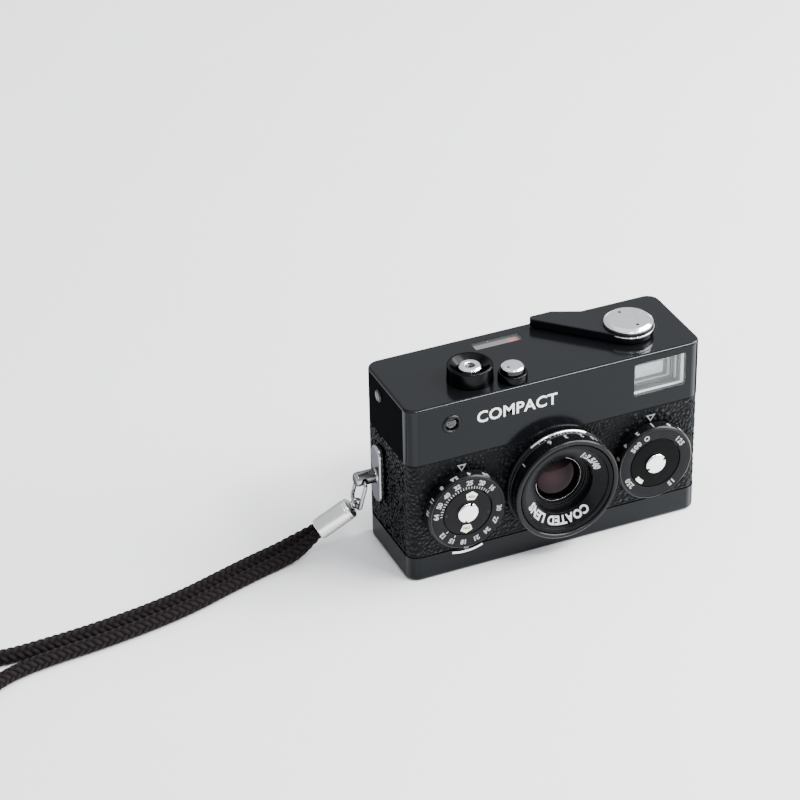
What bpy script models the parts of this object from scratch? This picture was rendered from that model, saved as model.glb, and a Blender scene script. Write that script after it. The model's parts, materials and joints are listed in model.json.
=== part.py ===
"""Pocket 35 mm viewfinder camera with a collapsible lens, two front dials and a wrist strap.

Every dimension is in millimetres, and MM turns it into metres. The camera stands on its base
at z = 0 with the origin in the middle of the base. The lens looks along -Y, and +X is to the
right of someone who faces the lens.
"""
import math

import bmesh
import bpy
from mathutils import Matrix, Vector

MM = 0.001

# Body
WIDTH = 97.0
HEIGHT = 60.0
DEPTH = 32.0
CORNER = 4.0                   # radius of the four upright corners
RIM = 0.9                      # small rounding along the top and bottom rims
COVER_SEAM = 41.0              # lower edge of the top cover
BASE_SEAM = 8.0                # upper edge of the bottom tray
WALL = 1.1                     # sheet metal of the covers
SKIN = 0.9                     # leatherette
GAP = 0.3                      # running and seating clearance
HALF = WIDTH / 2
FRONT = -DEPTH / 2
BACK = DEPTH / 2
BACK_WALL = 2.8                # thickness of the sliding back
BACK_INNER = BACK - BACK_WALL

# Lens
LENS_Z = 24.6
TUBE_RADIUS = 13.4
BARREL_RADIUS = 17.0
BARREL_FRONT = 7.9             # how far the collapsed lens stands in front of the body
GLASS_RADIUS = 9.2
GATE = (36.0, 24.0)            # picture format

# Front dials
DIAL_X = 31.3
DIAL_Z = 23.4
DIAL_RADIUS = 12.6
DIAL_FACE_RADIUS = 11.6
DIAL_HEIGHT = 4.3
DISC_RADIUS = 7.7

# Top controls
LEVER_AXIS = (30.4, -2.1)
HUB_RADIUS = 7.5
LEVER_LOW = 60.4
LEVER_TOP = 63.2
CAP_TOP = 65.0
RELEASE_AXIS = (-23.7, -5.7)
RELEASE_TOP = 64.8
COLLAR_TOP = 65.0              # rim of the cup around the shutter release
LENS_BUTTON_AXIS = (-12.3, -10.9)
LENS_BUTTON_TOP = 64.6
FINDER_LOW = (25.3, 45.7)      # lower corner of the finder window, x and z
FINDER_HIGH = (43.4, 57.6)
EYEPIECE_LOW = (29.0, 47.4)
EYEPIECE_HIGH = (39.0, 55.6)
METER_LOW = (-15.6, 7.8)       # lower corner of the meter window, x and y
METER_HIGH = (0.6, 12.6)
METER_AXIS = (-8.0, 3.0)
CELL_AXIS = (-34.3, 52.8)      # light cell, x and z
COVER_SCREW = (4.8, 54.6)      # screw in each end of the top cover, y and z
BATTERY_AXIS = (3.5, -4.5)
RELEASE_LEVER_AXIS = (12.0, 47.0)

# Film transport
GEAR_MODULE = 0.8
GEAR_TEETH = 22
PINION_TEETH = 13
SPROCKET_TEETH = 9
TRANSFER_AXIS = (LEVER_AXIS[0] - GEAR_MODULE * (GEAR_TEETH + PINION_TEETH) / 2, LEVER_AXIS[1])
SPROCKET_ANGLE = math.radians(122)
SPROCKET_REACH = GEAR_MODULE * (GEAR_TEETH + SPROCKET_TEETH) / 2
SPROCKET_AXIS = (LEVER_AXIS[0] + SPROCKET_REACH * math.cos(SPROCKET_ANGLE),
                 LEVER_AXIS[1] + SPROCKET_REACH * math.sin(SPROCKET_ANGLE))
UPPER_GEARS = (56.3, 57.9)     # lower and upper face of the gears under the top plate
LOWER_GEARS = (43.0, 44.4)     # and of those on the chassis

# Base
CARTRIDGE_AXIS = (-33.0, 0.4)
CARTRIDGE_RADIUS = 12.8
SHOE_X = -12.2
TRIPOD_X = 28.6
LATCH_X = 40.6
COUNTER_X = 18.0
COUNTER_WINDOW_X = 21.6

# Wrist strap
POST_Y = 5.0
POST_Z = 27.0
POST_HOLE = Vector((-54.6, POST_Y, POST_Z))
EYE = Vector((-56.3, 6.4, 17.5))
FERRULE_TOWARDS = Vector((-66.9, 9.6, 9.5))
FERRULE_RADIUS = 3.3
FERRULE_SPAN = (1.9, 14.4)     # start and end of the ferrule's barrel, from the eye
WIRE_RADIUS = 0.6
LINK_HALF_WIDTH = 3.3
CORD_DIAMETER = 4.6
CORD_END_RADIUS = 1.6          # each strand is squeezed where it enters the ferrule
CORD_TAPER = 9.0
CORD_STEP = 10.0
CORD_ROUTE = (
    (-67.2, 11.5, 8.9), (-70.6, 12.7, 6.4), (-75.0, 13.1, 4.3), (-80.4, 12.9, 2.9), (-86.6, 11.8, 2.4),
    (-93.7, 9.7, 2.4), (-101.8, 7.1, 2.4), (-110.7, 4.3, 2.4), (-120.5, 1.9, 2.4), (-131.4, 0.0, 2.4),
    (-143.2, -1.5, 2.4), (-156.0, -2.4, 2.4), (-171.0, -2.6, 2.4), (-184.0, 0.4, 2.4), (-196.0, 5.8, 2.4),
    (-208.5, 11.0, 2.4), (-221.0, 10.4, 2.4), (-231.0, 3.4, 2.4), (-235.5, -8.0, 2.4), (-232.5, -19.5, 2.4),
    (-223.0, -28.0, 2.4), (-210.0, -30.6, 2.4), (-197.5, -27.0, 2.4), (-186.0, -19.8, 2.4),
    (-175.0, -12.9, 2.4), (-165.5, -9.9, 2.4), (-155.5, -8.5, 2.4), (-142.8, -7.3, 2.4), (-130.6, -5.6, 2.4),
    (-119.5, -3.5, 2.4), (-109.4, -0.8, 2.4), (-100.2, 2.3, 2.4), (-92.3, 4.8, 2.4), (-85.6, 6.8, 2.4),
    (-79.8, 7.9, 2.9), (-75.0, 8.3, 4.3), (-71.4, 8.5, 6.4), (-68.3, 8.2, 8.9),
)

LOOKS = {                      # colour, metallic, roughness
    "black_paint": ((0.010, 0.010, 0.012), 0.0, 0.28),
    "leatherette": ((0.012, 0.012, 0.013), 0.0, 0.62),
    "black_metal": ((0.015, 0.015, 0.017), 0.3, 0.40),
    "chrome": ((0.80, 0.80, 0.82), 1.0, 0.18),
    "steel": ((0.55, 0.55, 0.57), 1.0, 0.35),
    "aluminium": ((0.75, 0.75, 0.76), 1.0, 0.45),
    "brass": ((0.70, 0.52, 0.24), 1.0, 0.35),
    "plastic": ((0.03, 0.03, 0.035), 0.0, 0.45),
    "glass": ((0.75, 0.82, 0.80), 0.0, 0.05),
    "red": ((0.70, 0.08, 0.06), 0.0, 0.50),
    "cord": ((0.020, 0.013, 0.012), 0.0, 0.85),
}
FACING = {                     # where a piece's own +Z points
    "up": (0.0, 0.0, 0.0),
    "down": (math.pi, 0.0, 0.0),
    "front": (math.pi / 2, 0.0, 0.0),
    "back": (-math.pi / 2, 0.0, 0.0),
    "left": (0.0, -math.pi / 2, 0.0),
    "right": (0.0, math.pi / 2, 0.0),
}

for leftover in list(bpy.data.objects):
    bpy.data.objects.remove(leftover, do_unlink=True)

PARTS = bpy.data.collections.new("pocket_camera")
CUTTERS = bpy.data.collections.new("cutters")
bpy.context.scene.collection.children.link(PARTS)
bpy.context.scene.collection.children.link(CUTTERS)


# ---------------------------------------------------------------- helpers

def place(name, data, look, at, facing="up"):
    """Make an object of this data at a point, with its own material, or a hidden cutter."""
    obj = bpy.data.objects.new(name, data)
    obj.location = Vector(at) * MM
    obj.rotation_euler = FACING[facing]
    if look is None:
        CUTTERS.objects.link(obj)
        obj.hide_render = True
        obj.display_type = "WIRE"
        return obj
    PARTS.objects.link(obj)
    colour, metallic, roughness = LOOKS[look]
    material = bpy.data.materials.new(name + "_finish")
    material.use_nodes = True
    shader = material.node_tree.nodes["Principled BSDF"]
    shader.inputs["Base Color"].default_value = (*colour, 1.0)
    shader.inputs["Metallic"].default_value = metallic
    shader.inputs["Roughness"].default_value = roughness
    material.diffuse_color = (*colour, 1.0)
    data.materials.append(material)
    return obj


def baked(obj, weld=0.0):
    """Turn an object into the plain mesh that its curve or modifiers make, smooth where round."""
    bpy.context.view_layer.update()
    shape = obj.evaluated_get(bpy.context.evaluated_depsgraph_get())
    mesh = bpy.data.meshes.new_from_object(shape)
    if weld:
        bm = bmesh.new()
        bm.from_mesh(mesh)
        bmesh.ops.remove_doubles(bm, verts=bm.verts, dist=weld)
        bm.to_mesh(mesh)
        bm.free()
    bpy.data.objects.remove(obj, do_unlink=True)
    mesh.shade_smooth()
    mesh.set_sharp_from_angle(angle=math.radians(35))
    return mesh


def block(name, low, high, look=None, pivot=None, corner=0.0, axis=2, steps=3,
          front_only=False, rim=0.0, rim_top=True, remove=None, wall=0.0):
    """Make a box between two corners. Its edges along one axis are rounded, and then the rim of
    its upper or lower side. With remove, that side is taken off and the rest becomes a shell."""
    low, high = Vector(map(min, low, high)), Vector(map(max, low, high))
    pivot = (low + high) / 2 if pivot is None else Vector(pivot)
    bm = bmesh.new()
    bmesh.ops.create_cube(bm, size=1.0)
    bmesh.ops.scale(bm, vec=(high - low) * MM, verts=bm.verts)
    bmesh.ops.translate(bm, vec=((low + high) / 2 - pivot) * MM, verts=bm.verts)
    middle = ((low + high) / 2 - pivot) * MM
    if corner:
        edges = [e for e in bm.edges
                 if abs((e.verts[0].co - e.verts[1].co).normalized()[axis]) > 0.99
                 and not (front_only and e.verts[0].co.y > middle.y)]
        bmesh.ops.bevel(bm, geom=edges, offset=corner * MM, segments=steps, profile=0.5,
                        affect="EDGES")
    if rim:
        level = ((high if rim_top else low) - pivot).z * MM
        edges = [e for e in bm.edges if all(abs(v.co.z - level) < 1e-7 for v in e.verts)]
        bmesh.ops.bevel(bm, geom=edges, offset=rim * MM, segments=2, profile=0.5, affect="EDGES")
    if remove:
        bm.normal_update()
        faces = [f for f in bm.faces if any(f.normal.dot(Vector(side)) > 0.99 for side in remove)]
        bmesh.ops.delete(bm, geom=faces, context="FACES")
    mesh = bpy.data.meshes.new(name)
    bm.to_mesh(mesh)
    bm.free()
    mesh.shade_smooth()
    mesh.set_sharp_from_angle(angle=math.radians(35))
    obj = place(name, mesh, look, pivot)
    if wall:
        shell = obj.modifiers.new("wall", "SOLIDIFY")
        shell.thickness = wall * MM
        shell.offset = -1.0
        shell.use_even_offset = True
    return obj


def turned(name, profile, look, at, facing="up", steps=20, ring=False):
    """Turn a profile of (radius, height) points, listed from the top down the outer side."""
    mesh = bpy.data.meshes.new(name)
    verts = [(radius * MM, 0.0, height * MM) for radius, height in profile]
    edges = [(i, i + 1) for i in range(len(verts) - 1)]
    if ring:
        edges.append((len(verts) - 1, 0))
    mesh.from_pydata(verts, edges, [])
    lathe = bpy.data.objects.new(name + "_lathe", mesh)
    CUTTERS.objects.link(lathe)
    screw = lathe.modifiers.new("lathe", "SCREW")
    screw.steps = steps
    screw.render_steps = steps
    screw.use_merge_vertices = True
    screw.merge_threshold = 0.000001
    return place(name, baked(lathe), look, at, facing)


def rod(name, radius, low, high, at, facing="up", look=None, segments=16):
    """Make a plain cylinder between two heights on its own axis."""
    bm = bmesh.new()
    bmesh.ops.create_cone(bm, cap_ends=True, segments=segments, radius1=radius * MM,
                          radius2=radius * MM, depth=(high - low) * MM)
    bmesh.ops.translate(bm, vec=(0.0, 0.0, (low + high) / 2 * MM), verts=bm.verts)
    mesh = bpy.data.meshes.new(name)
    bm.to_mesh(mesh)
    bm.free()
    mesh.shade_smooth()
    mesh.set_sharp_from_angle(angle=math.radians(35))
    return place(name, mesh, look, at, facing)


def plate(name, outline, low, high, look, at, facing="up"):
    """Make a flat plate of this outline between two heights on its own axis."""
    curve = bpy.data.curves.new(name, "CURVE")
    curve.dimensions = "2D"
    curve.fill_mode = "BOTH"
    curve.extrude = (high - low) / 2 * MM
    spline = curve.splines.new("POLY")
    spline.points.add(len(outline) - 1)
    for point, (x, y) in zip(spline.points, outline):
        point.co = (x * MM, y * MM, 0.0, 1.0)
    spline.use_cyclic_u = True
    flat = bpy.data.objects.new(name + "_outline", curve)
    CUTTERS.objects.link(flat)
    mesh = baked(flat, weld=0.000001)
    mesh.transform(Matrix.Translation((0.0, 0.0, (low + high) / 2 * MM)))
    return place(name, mesh, look, at, facing)


def cut(target, *tools):
    """Take cutters away from a piece."""
    for tool in tools:
        modifier = target.modifiers.new("cut_" + tool.name, "BOOLEAN")
        modifier.operation = "DIFFERENCE"
        modifier.solver = "EXACT"
        modifier.object = tool


def join(target, *tools):
    """Grow a piece by the shapes of helper solids."""
    for tool in tools:
        modifier = target.modifiers.new("join_" + tool.name, "BOOLEAN")
        modifier.operation = "UNION"
        modifier.solver = "EXACT"
        modifier.object = tool


def arc(centre, radius, start, end, steps):
    """Points along an arc, angles in degrees."""
    angles = [math.radians(start + (end - start) * i / steps) for i in range(steps + 1)]
    return [(centre[0] + radius * math.cos(a), centre[1] + radius * math.sin(a)) for a in angles]


def slot_outline(length, width, steps=6):
    """A slot with round ends, long in Y."""
    reach = (length - width) / 2
    return (arc((0.0, reach), width / 2, 0, 180, steps)
            + arc((0.0, -reach), width / 2, 180, 360, steps))


def gear_outline(teeth, first_tooth):
    """A gear's outline, with one tooth centred on the angle first_tooth, in degrees."""
    pitch_radius = GEAR_MODULE * teeth / 2
    root, tip = pitch_radius - 0.75, pitch_radius + 0.5
    points = []
    for tooth in range(teeth):
        centre = math.radians(first_tooth) + 2 * math.pi * tooth / teeth
        for radius, share in ((root, -0.26), (tip, -0.11), (tip, 0.11), (root, 0.26)):
            angle = centre + share * 2 * math.pi / teeth
            points.append((radius * math.cos(angle), radius * math.sin(angle)))
    return points


def smooth_route(route, step):
    """Points at an even spacing along a Catmull-Rom curve through a route's points."""
    knots = [Vector(point) for point in route]
    knots = [knots[0] * 2 - knots[1]] + knots + [knots[-1] * 2 - knots[-2]]
    fine = []
    for a, b, c, d in zip(knots, knots[1:], knots[2:], knots[3:]):
        for i in range(20):
            t = i / 20
            fine.append(0.5 * (2 * b + (c - a) * t + (2 * a - 5 * b + 4 * c - d) * t * t
                               + (3 * b - a - 3 * c + d) * t ** 3))
    fine.append(knots[-2])
    length = sum((q - p).length for p, q in zip(fine, fine[1:]))
    count = round(length / step)
    points, walked, wanted = [fine[0]], 0.0, 1
    for p, q in zip(fine, fine[1:]):
        run = (q - p).length
        while wanted < count and walked + run >= wanted * length / count:
            points.append(p.lerp(q, (wanted * length / count - walked) / run))
            wanted += 1
        walked += run
    points.append(fine[-1])
    return points


def tube(name, points, radius, look, at, closed=False, radii=None):
    """A wire or cord along these points, which are measured from the point at."""
    curve = bpy.data.curves.new(name, "CURVE")
    curve.dimensions = "3D"
    curve.bevel_depth = radius * MM
    curve.bevel_resolution = 2
    curve.use_fill_caps = not closed
    spline = curve.splines.new("POLY")
    spline.points.add(len(points) - 1)
    for i, (point, position) in enumerate(zip(spline.points, points)):
        point.co = (*(Vector(position) - Vector(at)) * MM, 1.0)
        point.radius = radii[i] if radii else 1.0
    spline.use_cyclic_u = closed
    return place(name, curve, look, at)


def joint_empty(name, at, children):
    """Parent these pieces to an empty on their joint's axis."""
    empty = bpy.data.objects.new(name, None)
    empty.location = Vector(at) * MM
    PARTS.objects.link(empty)
    for child in children:
        child.location -= empty.location
        child.parent = empty


# ---------------------------------------------------------------- chassis

def make_chassis():
    inset = SKIN + GAP
    chassis = block("chassis", (-HALF + inset, FRONT + inset, BASE_SEAM + GAP),
                    (HALF - inset, BACK_INNER - 0.5, COVER_SEAM - GAP), "black_metal",
                    corner=CORNER - inset, front_only=True)
    under_cover = WALL + 0.4
    join(chassis,
         block("deck", (-HALF + under_cover, FRONT + under_cover, 39.0),
               (HALF - under_cover, BACK_INNER - 0.6, 42.6), corner=2.4, front_only=True),
         block("cartridge_tower", (-46.7, -13.0, 38.0), (-19.2, BACK_INNER - 0.7, 54.2)),
         block("skirt", (-46.9, -14.4, 6.0), (46.9, BACK_INNER - 0.8, 9.4), corner=3.0,
               front_only=True))
    cx, cy = CARTRIDGE_AXIS
    lx, ly = LEVER_AXIS
    film_plane = 11.0
    cut(chassis,
        rod("cartridge_bore", CARTRIDGE_RADIUS, 9.8, 53.0, (cx, cy, 0), segments=24),
        block("cartridge_door", (cx - 12.1, cy + 0.6, 9.9), (cx + 12.1, 14.0, 52.9)),
        block("film_path", (-20.8, film_plane, 8.9), (20.0, 14.0, 40.2)),
        block("gate_aperture", (-GATE[0] / 2, 8.8, LENS_Z - GATE[1] / 2),
              (GATE[0] / 2, 14.0, LENS_Z + GATE[1] / 2)),
        block("light_box", (-15.5, 4.0, LENS_Z - 11.0), (15.5, 9.3, LENS_Z + 11.0)),
        rod("lens_bore", TUBE_RADIUS + 0.8, -1.0, 24.0, (0, FRONT, LENS_Z), "back", segments=20),
        rod("takeup_bore", 10.4, 9.8, 41.4, (lx, ly, 0), segments=22),
        block("takeup_door", (19.4, ly + 0.6, 9.9), (40.2, 14.0, 41.3)),
        rod("spool_bearing", 2.4, 41.0, 43.0, (lx, ly, 0)),
        rod("sprocket_bearing", 1.7, 41.0, 43.0, (*SPROCKET_AXIS, 0)),
        rod("transfer_bearing", 1.5, 40.2, 43.0, (*TRANSFER_AXIS, 0)),
        rod("fork_hole", 3.0, 5.0, 10.5, (cx, cy, 0)),
        rod("latch_hole", 2.4, 5.0, 8.4, (LATCH_X, 0, 0)),
        rod("counter_hole", 1.4, 5.0, 9.2, (COUNTER_X, 0, 0)),
        rod("aperture_dial_hole", 4.4, -1.0, 2.8, (-DIAL_X, FRONT, DIAL_Z), "back"),
        rod("speed_dial_hole", 4.4, -1.0, 2.8, (DIAL_X, FRONT, DIAL_Z), "back"),
        block("lock_slot", (-32.2, -17.0, 8.1), (-29.0, -13.4, 10.8)),
        rod("post_hole", 2.6, -1.0, 2.3, (-HALF, POST_Y, POST_Z), "right"))


def make_pressure_plate():
    block("pressure_plate", (-19.0, 11.4, 9.4), (19.0, 12.3, 39.8), "black_metal", corner=2.0, axis=1)


def make_front_leatherette():
    skin = block("front_leatherette", (-HALF, FRONT, BASE_SEAM + GAP),
                 (HALF, BACK_INNER - GAP, COVER_SEAM - GAP), "leatherette", corner=CORNER,
                 steps=4, front_only=True, remove=((0, 0, 1), (0, 0, -1), (0, 1, 0)), wall=SKIN)
    cut(skin,
        rod("skin_lens_hole", 15.3, -1.0, 3.0, (0, FRONT, LENS_Z), "back", segments=20),
        rod("skin_left_hole", 4.4, -1.0, 3.0, (-DIAL_X, FRONT, DIAL_Z), "back"),
        rod("skin_right_hole", 4.4, -1.0, 3.0, (DIAL_X, FRONT, DIAL_Z), "back"),
        block("skin_lock_slot", (-32.2, -17.0, 8.1), (-29.0, -13.4, 10.8)),
        rod("skin_post_hole", 2.6, -2.0, 2.0, (-HALF, POST_Y, POST_Z), "left"))


# ---------------------------------------------------------------- top cover and finder

def make_top_cover():
    cover = block("top_cover", (-HALF, FRONT, COVER_SEAM), (HALF, BACK, HEIGHT), "black_paint",
                  corner=CORNER, steps=4, rim=RIM, remove=((0, 0, -1),), wall=WALL)
    cut(cover,
        block("finder_opening", (FINDER_LOW[0], FRONT - 1, FINDER_LOW[1]),
              (FINDER_HIGH[0], FRONT + 2, FINDER_HIGH[1])),
        block("eyepiece_opening", (EYEPIECE_LOW[0], BACK - 2, EYEPIECE_LOW[1]),
              (EYEPIECE_HIGH[0], BACK + 1, EYEPIECE_HIGH[1])),
        block("meter_opening", (*METER_LOW, HEIGHT - 2), (*METER_HIGH, HEIGHT + 1)),
        rod("release_hole", 3.9, HEIGHT - 3, HEIGHT + 1, (*RELEASE_AXIS, 0)),
        rod("lens_button_hole", 1.8, HEIGHT - 3, HEIGHT + 1, (*LENS_BUTTON_AXIS, 0)),
        rod("lever_hole", 2.4, HEIGHT - 3, HEIGHT + 1, (*LEVER_AXIS, 0)),
        rod("cell_hole", 3.3, -1.0, 2.0, (CELL_AXIS[0], FRONT, CELL_AXIS[1]), "back"),
        rod("rewind_release_hole", 1.5, -1.0, 2.0,
            (RELEASE_LEVER_AXIS[0], BACK, RELEASE_LEVER_AXIS[1]), "front"))
    for side in (-1, 1):
        cut(cover, rod("screw_hole", 1.3, -2.0, 2.0, (side * HALF, *COVER_SCREW), "left"))


def make_cover_screws():
    for name, side, facing in (("cover_screw_left", -1, "left"), ("cover_screw_right", 1, "right")):
        turned(name, ((0, 0.65), (1.5, 0.65), (1.9, 0.3), (1.0, 0.3), (1.0, -1.4), (0, -1.4)),
               "black_metal", (side * HALF, *COVER_SCREW), facing, steps=14)


def make_finder():
    block("finder_window", (FINDER_LOW[0] + GAP, FRONT + 0.15, FINDER_LOW[1] + GAP),
          (FINDER_HIGH[0] - GAP, FRONT + 2.6, FINDER_HIGH[1] - GAP), "glass")
    tunnel = block("finder_tunnel", (26.2, -13.0, 46.4), (42.2, 13.4, 56.0), "plastic")
    cut(tunnel, block("finder_passage", (27.0, -14.0, 47.2), (41.4, 14.4, 55.2)))
    block("finder_objective", (28.4, -10.0, 47.6), (39.6, -7.8, 54.8), "glass")
    block("finder_eyepiece", (EYEPIECE_LOW[0] + GAP, 13.7, EYEPIECE_LOW[1] + GAP),
          (EYEPIECE_HIGH[0] - GAP, 15.6, EYEPIECE_HIGH[1] - GAP), "glass")


def make_meter():
    block("meter_window", (METER_LOW[0] + GAP, METER_LOW[1] + GAP, 58.9),
          (METER_HIGH[0] - GAP, METER_HIGH[1] - GAP, 59.9), "glass")
    at = (*METER_AXIS, 0)
    turned("meter_movement", ((0, 56.0), (4.0, 56.0), (4.6, 55.4), (4.6, 46.0), (0, 46.0)),
           "aluminium", at)
    hand = arc((0.0, 0.0), 1.1, 150, 390, 8) + [(0.35, 8.6), (-0.35, 8.6)]
    plate("meter_needle", hand, 57.1, 57.5, "red", at)
    loop = (arc((0.0, 0.0), 1.1, 150, 390, 8) + [(0.3, 6.4)] + arc((0.0, 7.6), 1.2, -60, 240, 8)
            + [(-0.3, 6.4)])
    plate("follow_pointer", loop, 56.3, 56.8, "black_metal", at)
    cell_at = (CELL_AXIS[0], FRONT, CELL_AXIS[1])
    turned("cell_bezel", ((2.1, 0.5), (2.7, 0.5), (3.0, 0.1), (3.0, -1.0), (2.1, -1.0)),
           "black_metal", cell_at, "front", steps=24, ring=True)
    turned("light_cell", ((0, 0.1), (1.8, 0.1), (1.8, -2.2), (0, -2.2)), "glass", cell_at, "front",
           steps=20)
    bx, by = BATTERY_AXIS
    turned("battery", ((0, 51.0), (6.6, 51.0), (7.8, 50.0), (7.8, 45.0), (0, 45.0)), "steel",
           (bx, by, 0))


# ---------------------------------------------------------------- top controls

def make_buttons():
    at = (*RELEASE_AXIS, 0)
    turned("release_collar",
           ((3.9, COLLAR_TOP - 1.5), (6.1, COLLAR_TOP), (6.6, COLLAR_TOP), (6.9, COLLAR_TOP - 0.4),
            (7.0, HEIGHT + GAP), (3.9, HEIGHT + GAP)), "black_paint", at, ring=True)
    turned("release_button",
           ((0, RELEASE_TOP - 2.6), (1.0, RELEASE_TOP - 2.3), (1.3, RELEASE_TOP - 0.2),
            (3.2, RELEASE_TOP - 0.3), (3.5, RELEASE_TOP - 0.7), (3.5, 58.0), (2.0, 57.4), (0, 57.4)),
           "chrome", at)
    at = (*LENS_BUTTON_AXIS, 0)
    turned("lens_button_collar",
           ((3.75, 62.3), (4.1, 62.3), (4.4, 61.9), (4.4, HEIGHT + GAP), (3.75, HEIGHT + GAP)),
           "black_paint", at, ring=True)
    top = LENS_BUTTON_TOP
    button = turned("lens_button", ((0, top), (3.1, top), (3.4, top - 0.35), (3.4, 62.0), (1.4, 62.0),
                                    (1.4, 45.0), (0, 45.0)), "chrome", at, steps=24)
    cut(button, rod("lens_button_pin_hole", 0.45, top - 0.6, top + 1,
                    (at[0] - 1.7, at[1] - 0.7, 0), segments=8))


def make_lever():
    lx, ly = LEVER_AXIS
    hub = arc((0.0, 0.0), HUB_RADIUS + 0.1, -135, 68, 14)
    tip = [(9.9 - lx, 14.4 - ly), (6.0 - lx, 14.5 - ly), (5.0 - lx, 13.6 - ly)]
    lever = plate("advance_lever", hub + tip, LEVER_LOW, LEVER_TOP, "black_paint", (lx, ly, 0))
    join(lever, rod("lever_boss", HUB_RADIUS, LEVER_LOW + 0.5, LEVER_TOP + 0.5, (lx, ly, 0), segments=24))
    cut(lever, rod("lever_bore", 2.3, LEVER_LOW - 1, LEVER_TOP + 2, (lx, ly, 0)))
    cap = turned("lever_cap",
                 ((0, CAP_TOP), (HUB_RADIUS - 0.9, CAP_TOP), (HUB_RADIUS, CAP_TOP - 0.7),
                  (HUB_RADIUS, LEVER_TOP + 0.8), (0, LEVER_TOP + 0.8)), "chrome", (lx, ly, 0), steps=28)
    for i, (x, y) in enumerate(((-0.8, 4.4), (0.8, -4.4))):
        cut(cap, rod(f"cap_pin_hole_{i}", 0.6, CAP_TOP - 0.6, CAP_TOP + 1, (lx + x, ly + y, 0), segments=10))


def make_rewind_release():
    x, z = RELEASE_LEVER_AXIS
    at = (x, BACK, z)
    outline = arc((0.0, 0.0), 2.6, 20, 340, 12) + [(8.6, -1.6), (9.4, -0.8), (9.4, 0.8), (8.6, 1.6)]
    lever = plate("rewind_release_lever", outline, 0.3, 1.5, "chrome", at, "back")
    join(lever, rod("rewind_release_pivot", 1.2, -2.6, 0.8, at, "back", segments=16))


# ---------------------------------------------------------------- film transport

def make_transport():
    lx, ly = LEVER_AXIS
    tx, ty = TRANSFER_AXIS
    pitch = 360 / GEAR_TEETH
    advance = plate("advance_gear", gear_outline(GEAR_TEETH, 0.0), *UPPER_GEARS, "brass", (lx, ly, 0))
    join(advance, rod("advance_shaft", 2.0, UPPER_GEARS[0] + 0.4, LEVER_TOP, (lx, ly, 0)))

    spool_tooth = math.degrees(SPROCKET_ANGLE) % pitch
    gap_at_transfer = spool_tooth + pitch * (math.floor((180 - spool_tooth) / pitch) + 0.5)
    lower_tooth = (180 - gap_at_transfer) * GEAR_TEETH / PINION_TEETH
    transfer = rod("transfer_shaft", 1.6, LOWER_GEARS[0] + 0.4, UPPER_GEARS[1] - 0.4, (tx, ty, 0),
                   look="steel", segments=16)
    join(transfer,
         plate("upper_pinion", gear_outline(PINION_TEETH, 180 / PINION_TEETH), *UPPER_GEARS, None,
               (tx, ty, 0)),
         plate("lower_pinion", gear_outline(PINION_TEETH, lower_tooth), *LOWER_GEARS, None, (tx, ty, 0)),
         rod("transfer_pivot", 1.2, 40.8, LOWER_GEARS[0] + 0.6, (tx, ty, 0), segments=16))

    spool = turned("takeup_spool",
                   ((0, LOWER_GEARS[1] - 0.3), (2.0, LOWER_GEARS[1] - 0.3), (2.0, 40.9), (8.4, 40.9),
                    (8.4, 39.9), (6.4, 39.9), (6.4, 12.0), (8.4, 12.0), (8.4, 11.0), (2.0, 11.0),
                    (2.0, 10.2), (0, 10.2)), "plastic", (lx, ly, 0), steps=24)
    join(spool, plate("spool_gear", gear_outline(GEAR_TEETH, spool_tooth), *LOWER_GEARS, None, (lx, ly, 0)))

    sx, sy = SPROCKET_AXIS
    gap_towards_spool = math.degrees(SPROCKET_ANGLE) + 180
    sprocket = turned("film_sprocket",
                      ((0, LOWER_GEARS[1] - 0.3), (1.3, LOWER_GEARS[1] - 0.3), (1.3, 40.8), (3.2, 40.8),
                       (3.2, 39.0), (2.4, 38.4), (2.4, 11.6), (3.2, 11.0), (3.2, 10.2), (0, 10.2)),
                      "steel", (sx, sy, 0), steps=16)
    join(sprocket, plate("sprocket_pinion",
                         gear_outline(SPROCKET_TEETH, gap_towards_spool - 180 / SPROCKET_TEETH),
                         *LOWER_GEARS, None, (sx, sy, 0)))

    turned("frame_counter_disc", ((0, 8.8), (1.0, 8.8), (1.0, 5.4), (6.0, 5.4), (6.0, 4.7), (0, 4.7)),
           "plastic", (COUNTER_X, 0, 0), steps=24)


# ---------------------------------------------------------------- lens

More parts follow.
